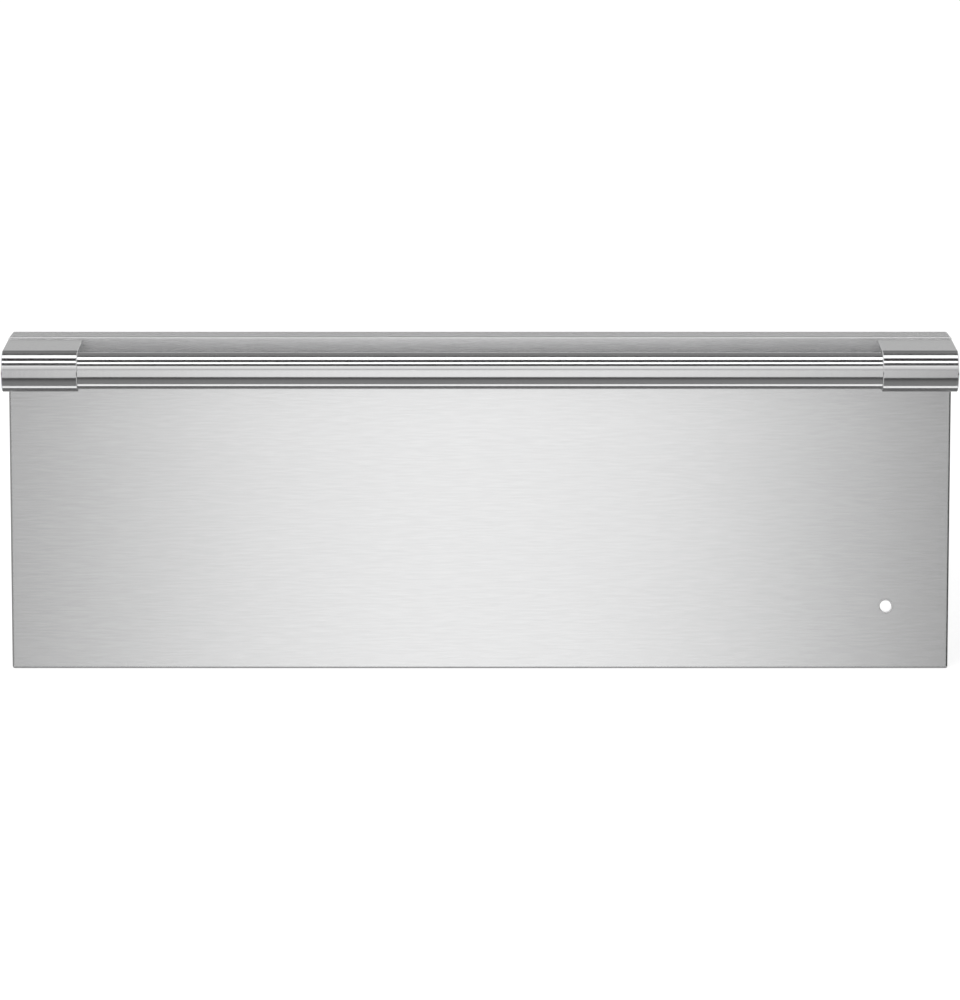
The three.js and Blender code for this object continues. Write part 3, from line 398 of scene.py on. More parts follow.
# %% World: the walls and their flags
LEFT_WALL = [(0, 0.3), (0.4, 0.34), (0.6, 0.44), (0.75, 0.52), (1, 0.4)]  # height 0 to 1, light
RIGHT_WALL = [(0, 0.28), (0.34, 0.3), (0.66, 0.4), (1, 0.42)]
LEFT_FLAG, RIGHT_FLAG = (0.13, 0.13, 0.13), (0.02, 0.02, 0.02)
FLAG_WIDTH = [(0.3, 0), (0.4, 1), (0.975, 1), (0.995, 0)]
FLAG_HEIGHT = [(0.36, 0), (0.39, 1), (0.455, 1), (0.475, 0)]

to_side = sums(sky, "ABSOLUTE", x)
height = sums(sky, "MULTIPLY_ADD", z, 0.5, 0.5)
flag = sums(sky, "MULTIPLY", ramp(sky, to_side, FLAG_WIDTH), ramp(sky, height, FLAG_HEIGHT))
left_wall = blend(sky, flag, ramp(sky, height, LEFT_WALL), LEFT_FLAG)
right_wall = blend(sky, flag, ramp(sky, height, RIGHT_WALL), RIGHT_FLAG)
to_right = ramp(sky, sums(sky, "MULTIPLY_ADD", x, 0.5, 0.5), [(0, 0), (0.4, 0), (0.6, 1), (1, 1)])
to_walls = ramp(sky, to_side, [(0, 0), (0.22, 0), (0.42, 1), (1, 1)])
studio = blend(sky, to_walls, rows, blend(sky, to_right, left_wall, right_wall))
print("walls ready")

# %% [markdown]
# The camera sees plain white behind the drawer. Metal and glass see the same white room with its
# softboxes and flags, so glossy and transmission rays are sent there too. All other rays meet an
# even, pale light.

# %% World: who sees what
SOFTBOX = 2.3
EVEN_LIGHT = 0.8
path = put(sky, "ShaderNodeLightPath").outputs
in_metal = sums(sky, "MAXIMUM", path["Is Glossy Ray"], path["Is Transmission Ray"])
room = put(sky, "ShaderNodeBackground", {"Color": studio, "Strength": SOFTBOX})
plain_light = sums(sky, "MAXIMUM", path["Is Camera Ray"], EVEN_LIGHT)
plain = put(sky, "ShaderNodeBackground", {"Color": (1, 1, 1), "Strength": plain_light})
seen = put(sky, "ShaderNodeMixShader", {0: in_metal, 1: plain.outputs[0], 2: room.outputs[0]})
put(sky, "ShaderNodeOutputWorld", {"Surface": seen.outputs[0]})
print("world nodes:", len(sky.nodes))

# %% [markdown]
# The floor is a plain white sweep. It is lit by the same light as the drawer, so the drawer's shadow
# stays on it, and a little light that only the camera sees brings its open parts to the white of the
# paper.

# %% Floor
FLOOR_Z = PANEL_LOW.z - 0.0002
PAPER, PAPER_GLOW = 0.55, 0.62
deselect()
bpy.ops.mesh.primitive_plane_add(size=80, location=(0, 0, FLOOR_Z))
floor = bpy.context.object
floor.name = "studio_floor"
apply_place(floor)
floor.visible_glossy = False
floor_material = bpy.data.materials.new("studio_floor")
floor_material.use_nodes = True
tree = floor_material.node_tree
tree.nodes.clear()
paper = put(tree, "ShaderNodeBsdfDiffuse", {"Color": (PAPER, PAPER, PAPER)})
camera_ray = put(tree, "ShaderNodeLightPath").outputs["Is Camera Ray"]
glow_light = sums(tree, "MULTIPLY", camera_ray, PAPER_GLOW)
glow = put(tree, "ShaderNodeEmission", {"Color": (1, 1, 1), "Strength": glow_light})
both = put(tree, "ShaderNodeAddShader", {0: paper.outputs[0], 1: glow.outputs[0]})
put(tree, "ShaderNodeOutputMaterial", {"Surface": both.outputs[0]})
floor.data.materials.append(floor_material)
print("floor at", round(FLOOR_Z * 1000, 1), "mm")

# %% Softbox for the matte surfaces
lamp_data = bpy.data.lights.new("softbox", "AREA")
lamp_data.shape = "RECTANGLE"
lamp_data.size, lamp_data.size_y = 3.0, 2.0
lamp_data.energy = 60
softbox = bpy.data.objects.new("softbox", lamp_data)
softbox.location = (-1.6, -2.6, 3.2)
aim = Vector((0, 0, 0.1)) - softbox.location
softbox.rotation_euler = aim.to_track_quat("-Z", "Y").to_euler()
softbox.visible_glossy = False
bpy.context.scene.collection.objects.link(softbox)
print("softbox at", tuple(softbox.location))

# %% [markdown]
# ## Finishes
#
# Each finish is a node tree on the object's own coordinates, so that its grain has a real size and
# moves with the piece. Brushed steel carries fine scratches all in one direction. They stretch each
# reflection across themselves, which Anisotropic does, along the direction that goes into Tangent.

# %% Finish helpers
def new_finish(name):
    material = bpy.data.materials.new(name)
    material.use_nodes = True
    tree = material.node_tree
    return material, tree, tree.nodes["Principled BSDF"]


def pattern(tree, per_metre, kind="Noise", output=0, **inputs):
    """A noise or cell pattern with so many features per metre, alike or along X, Y and Z."""
    if isinstance(per_metre, (int, float)):
        per_metre = (per_metre,) * 3
    place = put(tree, "ShaderNodeTexCoord").outputs["Object"]
    mapping = put(tree, "ShaderNodeMapping", {0: place, "Scale": per_metre})
    inputs.update(Vector=mapping.outputs[0], Scale=1)
    return put(tree, "ShaderNodeTex" + kind, inputs).outputs[output]


def between(tree, factor, low, high):
    """Turns a pattern from 0 to 1 into a number between two others."""
    return sums(tree, "MULTIPLY_ADD", factor, high - low, low)


def relief(tree, height, depth):
    """A normal with a pattern pressed into the surface, depth metres deep."""
    inputs = {"Height": height, "Distance": depth, "Strength": 1}
    return put(tree, "ShaderNodeBump", inputs).outputs[0]


print("finish helpers ready")

# %% [markdown]
# The press that bends the front rubs its folds smooth, so they are glossier than the flat steel. On a
# flat face the normal lies along one axis and on a fold between two, which a ramp on the largest part
# of the normal tells apart.

# %% Brushed steel
GRAIN_LENGTH, GRAIN_WIDTH, FINE_WIDTH = 0.02, 0.0011, 0.0006


def burnish(tree, amount):
    """1 on flat faces and amount on the folds between them."""
    normal = put(tree, "ShaderNodeTexCoord").outputs["Normal"]
    parts = put(tree, "ShaderNodeVectorMath", {0: normal}, operation="ABSOLUTE").outputs[0]
    x, y, z = put(tree, "ShaderNodeSeparateXYZ", {0: parts}).outputs
    largest = sums(tree, "MAXIMUM", sums(tree, "MAXIMUM", x, y), z)
    return ramp(tree, largest, [(0, amount), (0.97, amount), (0.995, 1)])


def brushed(name, grain, across, tones, roughness, anisotropy, depth, width, folded=0):
    """Steel with scratches along grain; across is the way in which they smear a reflection."""
    material, tree, shader = new_finish(name)
    per_metre = [1 / GRAIN_LENGTH if part else 1 / width for part in grain]
    scratches = pattern(tree, per_metre, Detail=3, Roughness=0.6)
    fine = ramp(tree, scratches, [(0.36, 0), (0.64, 1)])
    cloud = sums(tree, "MULTIPLY", pattern(tree, 9, Detail=2), 0.12)
    polish = between(tree, scratches, *roughness)
    if folded:
        polish = sums(tree, "MULTIPLY", polish, burnish(tree, folded))
    smear = put(tree, "ShaderNodeCombineXYZ", dict(enumerate(across)))
    feed(tree, shader, {
        "Base Color": blend(tree, cloud, blend(tree, fine, *tones), (0.5, 0.5, 0.505)),
        "Roughness": polish,
        "Metallic": 1,
        "Anisotropic": anisotropy,
        "Tangent": smear.outputs[0],
        "Normal": relief(tree, fine, depth),
    })
    return material


STEEL = ((0.642, 0.643, 0.645), (0.68, 0.681, 0.683))
POLISHED = ((0.685, 0.686, 0.688), (0.715, 0.716, 0.718))
SMOOTHED = ((0.645, 0.646, 0.648), (0.675, 0.676, 0.678))
AROUND, BAR_GLOSS = ((0, 1, 1), (1, 0, 0)), (0.14, 0.17)
front_steel = brushed("front_steel", (1, 0, 0), (0, 0.2, 1), STEEL, (0.2, 0.22), 0.95, 3e-6,
                      GRAIN_WIDTH, folded=0.35)
bar_steel = brushed("bar_steel", *AROUND, POLISHED, BAR_GLOSS, 0.6, 4e-7, FINE_WIDTH)
cap_steel = brushed("cap_steel", *AROUND, SMOOTHED, BAR_GLOSS, 0.5, 4e-7, FINE_WIDTH)
print("brushed steel ready")

# %% [markdown]
# The hidden steel has plainer skins. Satin stainless sheet is grained only softly. Galvanised sheet
# shows spangle, flat crystals of zinc some millimetres wide, which are the cells of a Voronoi pattern.
# Aluminised steel is finely mottled, and bright zinc plating is a thin, slightly blue and yellow film.
# The element's sheath is oxidised dark, and the rack's wire is plated bright.

# %% Sheet metals, sheath and rack wire
def sheet_metal(name, tones, roughness, cells=None, grain=None, depth=8e-6):
    """A metal skin with spangle cells, or a soft grain, or neither."""
    material, tree, shader = new_finish(name)
    figure = pattern(tree, grain, Detail=3) if grain else pattern(tree, 140, Detail=4)
    if cells:
        spangle = pattern(tree, 1 / cells, "Voronoi", "Color", Randomness=1)
        figure = blend(tree, 0.3, spangle, figure)
    tone = put(tree, "ShaderNodeRGBToBW", {0: figure}).outputs[0]
    broad = pattern(tree, 11, Detail=2)
    mixed = sums(tree, "MULTIPLY_ADD", broad, 0.35, sums(tree, "MULTIPLY", tone, 0.65))
    feed(tree, shader, {
        "Base Color": ramp(tree, mixed, [(0.25, tones[0]), (0.75, tones[1])]),
        "Roughness": between(tree, mixed, *roughness),
        "Metallic": 1,
        "Normal": relief(tree, tone, depth),
    })
    return material


satin = sheet_metal("satin_steel", ((0.56, 0.56, 0.565), (0.66, 0.66, 0.665)), (0.3, 0.42),
                    grain=(40, 900, 900))
galvanised = sheet_metal("galvanised_steel", ((0.5, 0.515, 0.53), (0.65, 0.665, 0.68)),
                         (0.34, 0.52), cells=0.007)
aluminised = sheet_metal("aluminised_steel", ((0.5, 0.5, 0.5), (0.62, 0.62, 0.615)), (0.42, 0.55))
zinc = sheet_metal("zinc_plate", ((0.6, 0.615, 0.64), (0.72, 0.71, 0.68)), (0.25, 0.36), depth=2e-6)
sheath = sheet_metal("element_sheath", ((0.07, 0.062, 0.058), (0.17, 0.14, 0.125)), (0.45, 0.65),
                     depth=2e-5)
wire_steel = sheet_metal("rack_wire", ((0.62, 0.625, 0.635), (0.74, 0.745, 0.75)), (0.14, 0.24),
                         depth=1e-6)
print("sheet metals ready")

# %% [markdown]
# The rest is wool, rubber, plastic, ceramic and print. Each has its own small scale: fibres a fraction
# of a millimetre thick, the fine spark texture of a plastic mould, the speckle of fired clay. The
# lamp's lens is milky plastic with a faint light of its own.

# %% Matte finishes and the lens
def matte(name, tones, roughness, per_metre, depth):
    """A surface that isn't metal, coloured and pressed by one fine pattern."""
    material, tree, shader = new_finish(name)
    fine, broad = pattern(tree, per_metre, Detail=3), pattern(tree, 18, Detail=2)
    mixed = sums(tree, "MULTIPLY_ADD", broad, 0.4, sums(tree, "MULTIPLY", fine, 0.6))
    feed(tree, shader, {
        "Base Color": ramp(tree, mixed, [(0.3, tones[0]), (0.7, tones[1])]),
        "Roughness": between(tree, fine, *roughness),
        "Normal": relief(tree, fine, depth),
    })
    return material


wool = matte("glass_wool", ((0.55, 0.48, 0.27), (0.82, 0.77, 0.55)), (0.9, 1), (90, 700, 90), 1.2e-3)
rubber = matte("silicone_seal", ((0.035, 0.035, 0.037), (0.06, 0.06, 0.062)), (0.5, 0.62), 900, 3e-5)
plastic = matte("black_plastic", ((0.014, 0.014, 0.015), (0.028, 0.028, 0.03)), (0.34, 0.46), 1600,
                3e-5)
clay = matte("terminal_ceramic", ((0.74, 0.69, 0.6), (0.84, 0.8, 0.72)), (0.3, 0.5), 500, 5e-5)
ink = matte("dial_ink", ((0.01, 0.01, 0.011), (0.02, 0.02, 0.021)), (0.4, 0.5), 900, 5e-6)
white_print = matte("pointer_white", ((0.78, 0.78, 0.76), (0.86, 0.86, 0.84)), (0.4, 0.5), 900, 1e-5)

lens, tree, shader = new_finish("lamp_lens")
milky = pattern(tree, 700, Detail=2)
feed(tree, shader, {
    "Base Color": ramp(tree, milky, [(0.3, 0.9), (0.7, 0.94)]),
    "Roughness": between(tree, milky, 0.2, 0.3),
    "Emission Color": (1, 1, 1),
    "Emission Strength": 0.35,
})
print("finishes:", len(bpy.data.materials))

# %% [markdown]
# ## Sheet parts that stay as the CAD made them
#
# Flat sheets and folded channels already have their real shape. They only get their finish.

# %% Finishes for the CAD's own nodes
CARRIED = {
    galvanised: "case_base case_top case_left case_right case_rear terminal_cover",
    aluminised: "liner_floor liner_top liner_left liner_right liner_rear",
    satin: "frame_left frame_right frame_top frame_bottom inner_front_panel drawer_tub console "
           "vent_slider",
    zinc: "anti_tip_bracket left_runner_outer right_runner_outer left_runner_middle "
          "right_runner_middle left_runner_inner right_runner_inner left_rail right_rail rear_rail "
          "element_support_front element_support_rear handle_screw_1 handle_screw_2 handle_screw_3 "
          "handle_screw_4 knob_shaft left_vent_rivet right_vent_rivet",
    plastic: "thermal_cutout cable_gland heat_control heat_knob lamp_holder",
    rubber: "front_gasket",
    clay: "terminal_block",
    sheath: "heating_element",
    wire_steel: "rack",
    wool: "base_insulation top_insulation left_insulation right_insulation rear_insulation "
          "front_insulation",
}
for material, names in CARRIED.items():
    for name in names.split():
        nodes[name].data.materials.clear()
        nodes[name].data.materials.append(material)
    print(material.name, "on", len(names.split()), "nodes")

# %% [markdown]
# ## The front
#
# One brushed sheet is folded back on all four sides. A cube without its back becomes that tray: Bevel
# rounds the folds, and Solidify gives the sheet its thickness inwards. The fold is what draws the
# bright line along the top edge, because its curve turns through every row of the studio.

# %% Front: the folded sheet
SHEET = 0.0012
FOLD = 0.0016
BACK_Y = PANEL_HIGH.y
skin = block("front_skin", PANEL_LOW, PANEL_HIGH)
open_up(skin, lambda f: near(middle(f).y, BACK_Y))
folds = choose(skin, "EDGE", lambda e: near(middle(e).y, FACE_Y) or along(e, 1))
round_off(FOLD, 5)
close()
thicken(skin, SHEET)
print("folded edges:", folds)

# %% Front: holes for the lamp and the handle's screws
LAMP_LOW, LAMP_HIGH, LAMP = box_of("lamp_bezel")
BAR_LOW, BAR_HIGH, BAR = box_of("handle_bar")
HANDLE_SCREWS = [box_of(f"handle_screw_{number}") for number in range(1, 5)]
BARREL_HOLE, SCREW_HOLE = 0.0056, 0.0028
through = (FACE_Y - 0.002, FACE_Y + 0.004)
holes = [drum("lamp_hole", "Y", BARREL_HOLE, *through, (LAMP.x, LAMP.z))]
for low, high, centre in HANDLE_SCREWS:
    holes.append(drum("screw_hole", "Y", SCREW_HOLE, *through, (centre.x, BAR.z), 24))
carve(skin, *holes)
finish(skin, "front_skin", "drawer", front_steel, ["front_panel"])

# %% [markdown]
# ## The handle
#
# The bar is a polished tube, brushed round and round, that ends inside two caps. It starts as a
# cylinder with many sides; its two end faces are deleted and Solidify makes the wall.

# %% Handle bar
BAR_RADIUS = (BAR_HIGH.z - BAR_LOW.z) / 2
BAR_WALL = 0.0015
bar = drum("bar", "X", BAR_RADIUS, BAR_LOW.x, BAR_HIGH.x, (BAR.y, BAR.z), 128)
open_up(bar, lambda f: near(abs(middle(f).x), BAR_HIGH.x))
close()
thicken(bar, BAR_WALL)
finish(bar, "bar", "drawer", bar_steel, ["handle_bar"])

# %% [markdown]
# Each cap is round in front, and its flat top climbs a little from there to the top edge of the front.
# A cylinder is cut in half, its cut edges are drawn back to the front, the upper one is lifted, and
# both ends are rounded.

# %% Handle caps
CAP_EDGE = 0.0009
SOCKET_DEPTH, SOCKET_ROOM = 0.0103, 0.0003


def end_cap(name, side):
    low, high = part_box(name)
    radius = BAR.z - low.z
    climb = high.z - BAR.z - radius
    cap = drum(name, "X", radius, low.x, high.x, (BAR.y, BAR.z), 96)
    edit(cap)
    choose_all()
    bpy.ops.mesh.bisect(plane_co=(0, BAR.y, 0), plane_no=(0, 1, 0), clear_outer=True)
    choose(cap, "EDGE", lambda e: near(middle(e).y, BAR.y))
    draw_out(0, high.y - BAR.y, 0)
    bpy.ops.mesh.edge_face_add()
    choose(cap, "VERT", lambda v: near(v.co.y, high.y) and v.co.z > BAR.z)
    bpy.ops.transform.translate(value=(0, 0, climb))

    def on_rim(edge):
        place, faces = middle(edge), edge.link_faces
        at_end = near(place.x, low.x) or near(place.x, high.x)
        if along(edge, 0) or not at_end or near(place.y, high.y) or len(faces) != 2:
            return False
        return abs(faces[0].normal.dot(faces[1].normal)) < 0.5

    rims = choose(cap, "EDGE", on_rim)
    round_off(CAP_EDGE, 4)
    close(outwards=True)
    inner = low.x if side > 0 else high.x
    mouth = sorted((inner - side * 0.003, inner + side * SOCKET_DEPTH))
    carve(cap, drum("socket", "X", BAR_RADIUS + SOCKET_ROOM, *mouth, (BAR.y, BAR.z), 128))
    print("rounded rim edges:", rims)
    finish(cap, name.replace("_handle", ""), "drawer", cap_steel, [name])


end_cap("left_handle_cap", -1)
end_cap("right_handle_cap", 1)

# %% [markdown]
# ## The lamp
#
# The lamp is a white dome in a thin steel ring. Both are turned pieces: an outline drawn as a row of
# vertices is spun about the lamp's own axis.

# %% Turning an outline
def turned(name, outline, axis, centre, steps=48):
    """Spins points, given as (radius, place along the axis), and closes the seam and the poles."""
    line = Vector([float(axis == letter) for letter in "XYZ"])
    outwards = Vector((0, 1, 0)) if axis == "X" else Vector((1, 0, 0))
    base = Vector([c * (1 - k) for c, k in zip(centre, line)])
    points = [base + radius * outwards + place * line for radius, place in outline]
    mesh = bpy.data.meshes.new(name)
    mesh.from_pydata(points, [(k, k + 1) for k in range(len(points) - 1)], [])
    piece = bpy.data.objects.new(name, mesh)
    bpy.context.scene.collection.objects.link(piece)
    edit(piece)
    choose_all()
    bpy.ops.mesh.spin(steps=steps, angle=2 * pi, center=base, axis=line)
    choose_all()
    bpy.ops.mesh.remove_doubles(threshold=1e-6)
    close(outwards=True)
    return piece


def on_circle(centre, radius, angle):
    """The point of a circle at an angle in degrees, as a pair."""
    return centre[0] + radius * cos(radians(angle)), centre[1] + radius * sin(radians(angle))


def arc(centre, radius, start, end, steps=6):
    """Points on an arc, as pairs, from one angle in degrees to another."""
    return [on_circle(centre, radius, start + (end - start) * k / steps) for k in range(steps + 1)]


def dome(radius, base, rise, steps=6):
    """The outline of a low dome, from its rim to its pole."""
    return [(radius * out, base + rise * up) for out, up in arc((0, 0), 1, 0, 90, steps)]


print("turning helpers ready")

# %% Lamp lens
LENS_LOW, LENS_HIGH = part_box("lamp_lens")
LENS_RADIUS, LENS_CROWN, LENS_EDGE = (LENS_HIGH.x - LENS_LOW.x) / 2, 0.0009, 0.0004
outline = dome(LENS_RADIUS, LENS_LOW.y + LENS_CROWN, -LENS_CROWN, 10)[::-1]
outline += [(LENS_RADIUS, LENS_HIGH.y - LENS_EDGE), (LENS_RADIUS - LENS_EDGE, LENS_HIGH.y),
            (0, LENS_HIGH.y)]
finish(turned("lens", outline, "Y", LAMP), "lens", "drawer", lens, ["lamp_lens"])

# %% Lamp bezel
OUTER_EDGE, INNER_EDGE = 0.0002, 0.00012
rim, bore, barrel = (LAMP_HIGH.x - LAMP_LOW.x) / 2, LENS_RADIUS + 0.0003, LENS_RADIUS + 0.0008
face, behind_face, end = LAMP_LOW.y, LAMP_LOW.y + 0.0006, LAMP_HIGH.y
outline = [(bore, end), (bore, face + 0.0003)]
outline += arc((bore + INNER_EDGE, face + INNER_EDGE), INNER_EDGE, 180, 270, 3)
outline += arc((rim - OUTER_EDGE, face + OUTER_EDGE), OUTER_EDGE, 270, 360, 5)
outline += [(rim, behind_face), (barrel, behind_face), (barrel, end), (bore, end)]
finish(turned("bezel", outline, "Y", LAMP), "bezel", "drawer", front_steel,
       ["lamp_bezel"])

# %% [markdown]
# ## The tub
#
# The tub is pressed from one sheet: a flat rim that hangs on the rails, upright walls with round
# corners, and a floor that curves up into them. A plane gets its corners rounded, an inset makes the
# rim, and the face inside it is pushed down for the walls. Two bevels then give the bends, and
# Solidify the sheet.

# %% Tub
TUB_SHEET, TUB_FLOOR, FLOOR_BEND = 0.0008, 0.0374, 0.009
RIM_WIDTH, RIM_CORNER, RIM_BEND = 0.0131, 0.0363, 0.0015
low, high, centre = box_of("drawer_tub")
deselect()
bpy.ops.mesh.primitive_plane_add(size=1, location=(centre.x, centre.y, high.z))
tub = bpy.context.object
tub.scale = (high.x - low.x, high.y - low.y, 1)
apply_place(tub)
edit(tub)
choose_all()
round_off(RIM_CORNER, 12, "VERTICES")
choose_all()
bpy.ops.mesh.inset(thickness=RIM_WIDTH)
draw_out(0, 0, TUB_FLOOR - high.z)
choose(tub, "EDGE", lambda e: near(middle(e).z, TUB_FLOOR, 1e-4))
round_off(FLOOR_BEND, 8)


def inside_rim(v):
    return (abs(v.co.x) < high.x - RIM_WIDTH + 1e-4
            and low.y + 0.012 < v.co.y < high.y - 0.012)


choose(tub, "EDGE", lambda e: near(middle(e).z, high.z) and not e.is_boundary
       and all(inside_rim(v) for v in e.verts) and any(f.normal.z < 0.5 for f in e.link_faces))
round_off(RIM_BEND, 4)
close(outwards=True)
print("tub's floor faces up:", max(tub.data.polygons, key=lambda p: p.area).normal.z > 0)
thicken(tub, TUB_SHEET)
finish(tub, "tub", "drawer", satin, ["drawer_tub"])

# %% [markdown]
# ## Wires and tubes
#
# The rack and the heating element are bent rods. A bent rod is a curve through its corners, each
# rounded to the bender's radius, with a round bevel around it, and is then made a mesh.

# %% A bent rod
def fillet(corners, radius, closed=False, steps=8):
    """Points along a path, with an arc in place of each corner."""
    corners = [Vector(corner) for corner in corners]
    count = len(corners)
    points = []
    for k, corner in enumerate(corners):
        if not closed and k in (0, count - 1):
            points.append(corner)
            continue
        back = (corners[k - 1] - corner).normalized()
        on = (corners[(k + 1) % count] - corner).normalized()
        half = back.angle(on) / 2
        centre = corner + (back + on).normalized() * radius / sin(half)
        reach = radius / sin(half) * cos(half)
        first, last = corner + back * reach - centre, corner + on * reach - centre
        spread = first.angle(last)
        for share in (step / steps for step in range(steps + 1)):
            a, b = sin((1 - share) * spread) / sin(spread), sin(share * spread) / sin(spread)
            points.append(centre + a * first + b * last)
    return points


def bent_rod(name, points, radius, closed=False, around=4):
    curve = bpy.data.curves.new(name, "CURVE")
    curve.dimensions = "3D"
    curve.bevel_depth = radius
    curve.bevel_resolution = around
    curve.use_fill_caps = not closed
    spline = curve.splines.new("POLY")
    spline.points.add(len(points) - 1)
    for place, point in zip(spline.points, points):
        place.co = (*point, 1)
    spline.use_cyclic_u = closed
    rod = bpy.data.objects.new(name, curve)
    bpy.context.scene.collection.objects.link(rod)
    only(rod)
    bpy.ops.object.convert(target="MESH")
    edit(rod)
    choose_all()
    bpy.ops.mesh.remove_doubles(threshold=1e-7)
    close(outwards=True)
    return rod


print("bent rods ready")

# %% Rack
FRAME_WIRE, CROSS_WIRE, LEG_WIRE = 0.0026, 0.0015, 0.0024
RACK_CORNER, LEG_CORNER, LEG_INSET = 0.014, 0.012, 0.024
WIRE_PITCHES = 12
low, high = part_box("rack")
left, right = low.x + FRAME_WIRE, high.x - FRAME_WIRE
front, rear = low.y + FRAME_WIRE, high.y - FRAME_WIRE
level, foot = high.z - FRAME_WIRE, low.z + LEG_WIRE
corners = [(left, front, level), (right, front, level), (right, rear, level), (left, rear, level)]
wires = [bent_rod("frame_wire", fillet(corners, RACK_CORNER, True), FRAME_WIRE, True)]
step = (right - left) / WIRE_PITCHES
upper = high.z - CROSS_WIRE
wire = bent_rod("cross_wire", [(left + step, front, upper), (left + step, rear, upper)], CROSS_WIRE)
wires.append(wire)
for number in range(1, WIRE_PITCHES - 1):
    wires.append(copied(wire, (number * step, 0, 0)))
lower = upper - 2 * CROSS_WIRE + 0.0002
for share in (1 / 3, 2 / 3):
    place = front + share * (rear - front)
    wires.append(bent_rod("under_wire", [(left, place, lower), (right, place, lower)], CROSS_WIRE))
for side in (left, right):
    leg = [(side, front + LEG_INSET, level), (side, front + LEG_INSET, foot),
           (side, rear - LEG_INSET, foot), (side, rear - LEG_INSET, level)]
    wires.append(bent_rod("leg_wire", fillet(leg, LEG_CORNER), LEG_WIRE))
finish(joined("wire_rack", wires), "wire_rack", "rack", wire_steel, ["rack"])

# %% Heating element
ELEMENT_LOW, ELEMENT_HIGH, ELEMENT = box_of("heating_element")
ELEMENT_RADIUS = (ELEMENT_HIGH.z - ELEMENT_LOW.z) / 2
BEND = 0.035
FRONT_RUN = ELEMENT_LOW.y + ELEMENT_RADIUS
FRONT_TURN, REAR_TURN = FRONT_RUN + 2 * BEND, 0.193 + BEND
half_run = [(BEND, ELEMENT_HIGH.y), (BEND, FRONT_TURN), (3 * BEND, FRONT_TURN),
            (3 * BEND, REAR_TURN), (5 * BEND, REAR_TURN), (5 * BEND, FRONT_RUN)]
mirrored = [(-x, y) for x, y in half_run]
run = [(x, y, ELEMENT.z) for x, y in mirrored + half_run[::-1]]
element = bent_rod("element", fillet(run, BEND * 0.9999, steps=10), ELEMENT_RADIUS, around=5)
finish(element, "element", "chassis", sheath, ["heating_element"])

# %% [markdown]
# ## The console behind the front
#
# Behind the front lies a narrow steel ledge, folded down at both edges, with the heat knob on the right
# and the moisture vent on the left. It is a block without its underside and ends, bent with Bevel and
# thickened with Solidify. The ports of the vent are cut out with rounded blocks.

# %% Console
LEDGE_LOW, LEDGE_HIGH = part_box("console")
LEDGE_TOP, LEDGE_SHEET, LEDGE_BEND = LEDGE_HIGH.z, 0.001, 0.002
KNOB_LOW, KNOB_HIGH, KNOB = box_of("heat_knob")
VENT_LOW, VENT_HIGH, VENT = box_of("vent_slider")
PORT_PITCH, PORT_WIDTH, PORT_LENGTH, PORT_CORNER = 0.022, 0.009, 0.016, 0.0035
BUSH_HOLE, RIVET_HOLE, RIVET_OFFSET = 0.0053, 0.0023, 0.07
STROKE = 0.011


def port_cutter(x, low, high, width=PORT_WIDTH, length=PORT_LENGTH, radius=PORT_CORNER):
    """A rounded block that stands through a plate, from one height to another."""
    return round_block("port", (x - width / 2, KNOB.y - length / 2, low),
                       (x + width / 2, KNOB.y + length / 2, high), radius)


ledge = block("ledge", LEDGE_LOW, LEDGE_HIGH)
open_up(ledge, lambda f: near(middle(f).z, LEDGE_LOW.z) or near(abs(middle(f).x), LEDGE_HIGH.x))
choose(ledge, "EDGE", lambda e: along(e, 0) and near(middle(e).z, LEDGE_TOP))
round_off(LEDGE_BEND, 5)
close()
thicken(ledge, LEDGE_SHEET)
span = (LEDGE_TOP - 0.004, LEDGE_TOP + 0.002)
cutters = [port_cutter(VENT.x + (k - 2) * PORT_PITCH, *span) for k in range(5)]
cutters.append(drum("bush_hole", "Z", BUSH_HOLE, *span, (KNOB.x, KNOB.y), 32))
for side in (-1, 1):
    at = (VENT.x + side * RIVET_OFFSET, KNOB.y)
    cutters.append(drum("rivet_hole", "Z", RIVET_HOLE, *span, at, 24))
carve(ledge, *cutters)
finish(ledge, "ledge", "drawer", satin, ["console"])

# %% [markdown]
# The vent's slider is a thin plate with four ports and a bent-up tab to push. It runs under the heads
# of two rivets, which stand in its two slots.

# %% Vent slider
SLIDER_SHEET, SLIDER_CORNER = 0.001, 0.003
SLOT_WIDTH, SLOT_CORNER = 0.0046, 0.0022
TAB_HALF, TAB_DEPTH, TAB_CORNER, TAB_EDGE = 0.006, 0.003, 0.003, 0.0006
plate_top = VENT_LOW.z + SLIDER_SHEET
plate = round_block("slider", VENT_LOW, (VENT_HIGH.x, VENT_HIGH.y, plate_top), SLIDER_CORNER)
span = (VENT_LOW.z - 0.002, VENT_LOW.z + 0.003)
cutters = [port_cutter(VENT.x - STROKE + (k - 2) * PORT_PITCH, *span) for k in range(1, 5)]
for side in (-1, 1):
    at = VENT.x + side * RIVET_OFFSET - STROKE / 2
    cutters.append(port_cutter(at, *span, STROKE + SLOT_WIDTH, SLOT_WIDTH, SLOT_CORNER))
carve(plate, *cutters)
tab = block("tab", (VENT.x - TAB_HALF, VENT_HIGH.y - TAB_DEPTH, VENT_LOW.z + SLIDER_SHEET / 2),
            (VENT.x + TAB_HALF, VENT_HIGH.y, VENT_HIGH.z))
edit(tab)
choose(tab, "EDGE", lambda e: along(e, 1) and near(middle(e).z, VENT_HIGH.z))
round_off(TAB_CORNER, 5)
choose(tab, "EDGE", lambda e: not along(e, 1) and middle(e).z > plate_top)
round_off(TAB_EDGE, 3)
close()
finish(joined("slider", [plate, tab]), "slider", "vent", satin, ["vent_slider"])

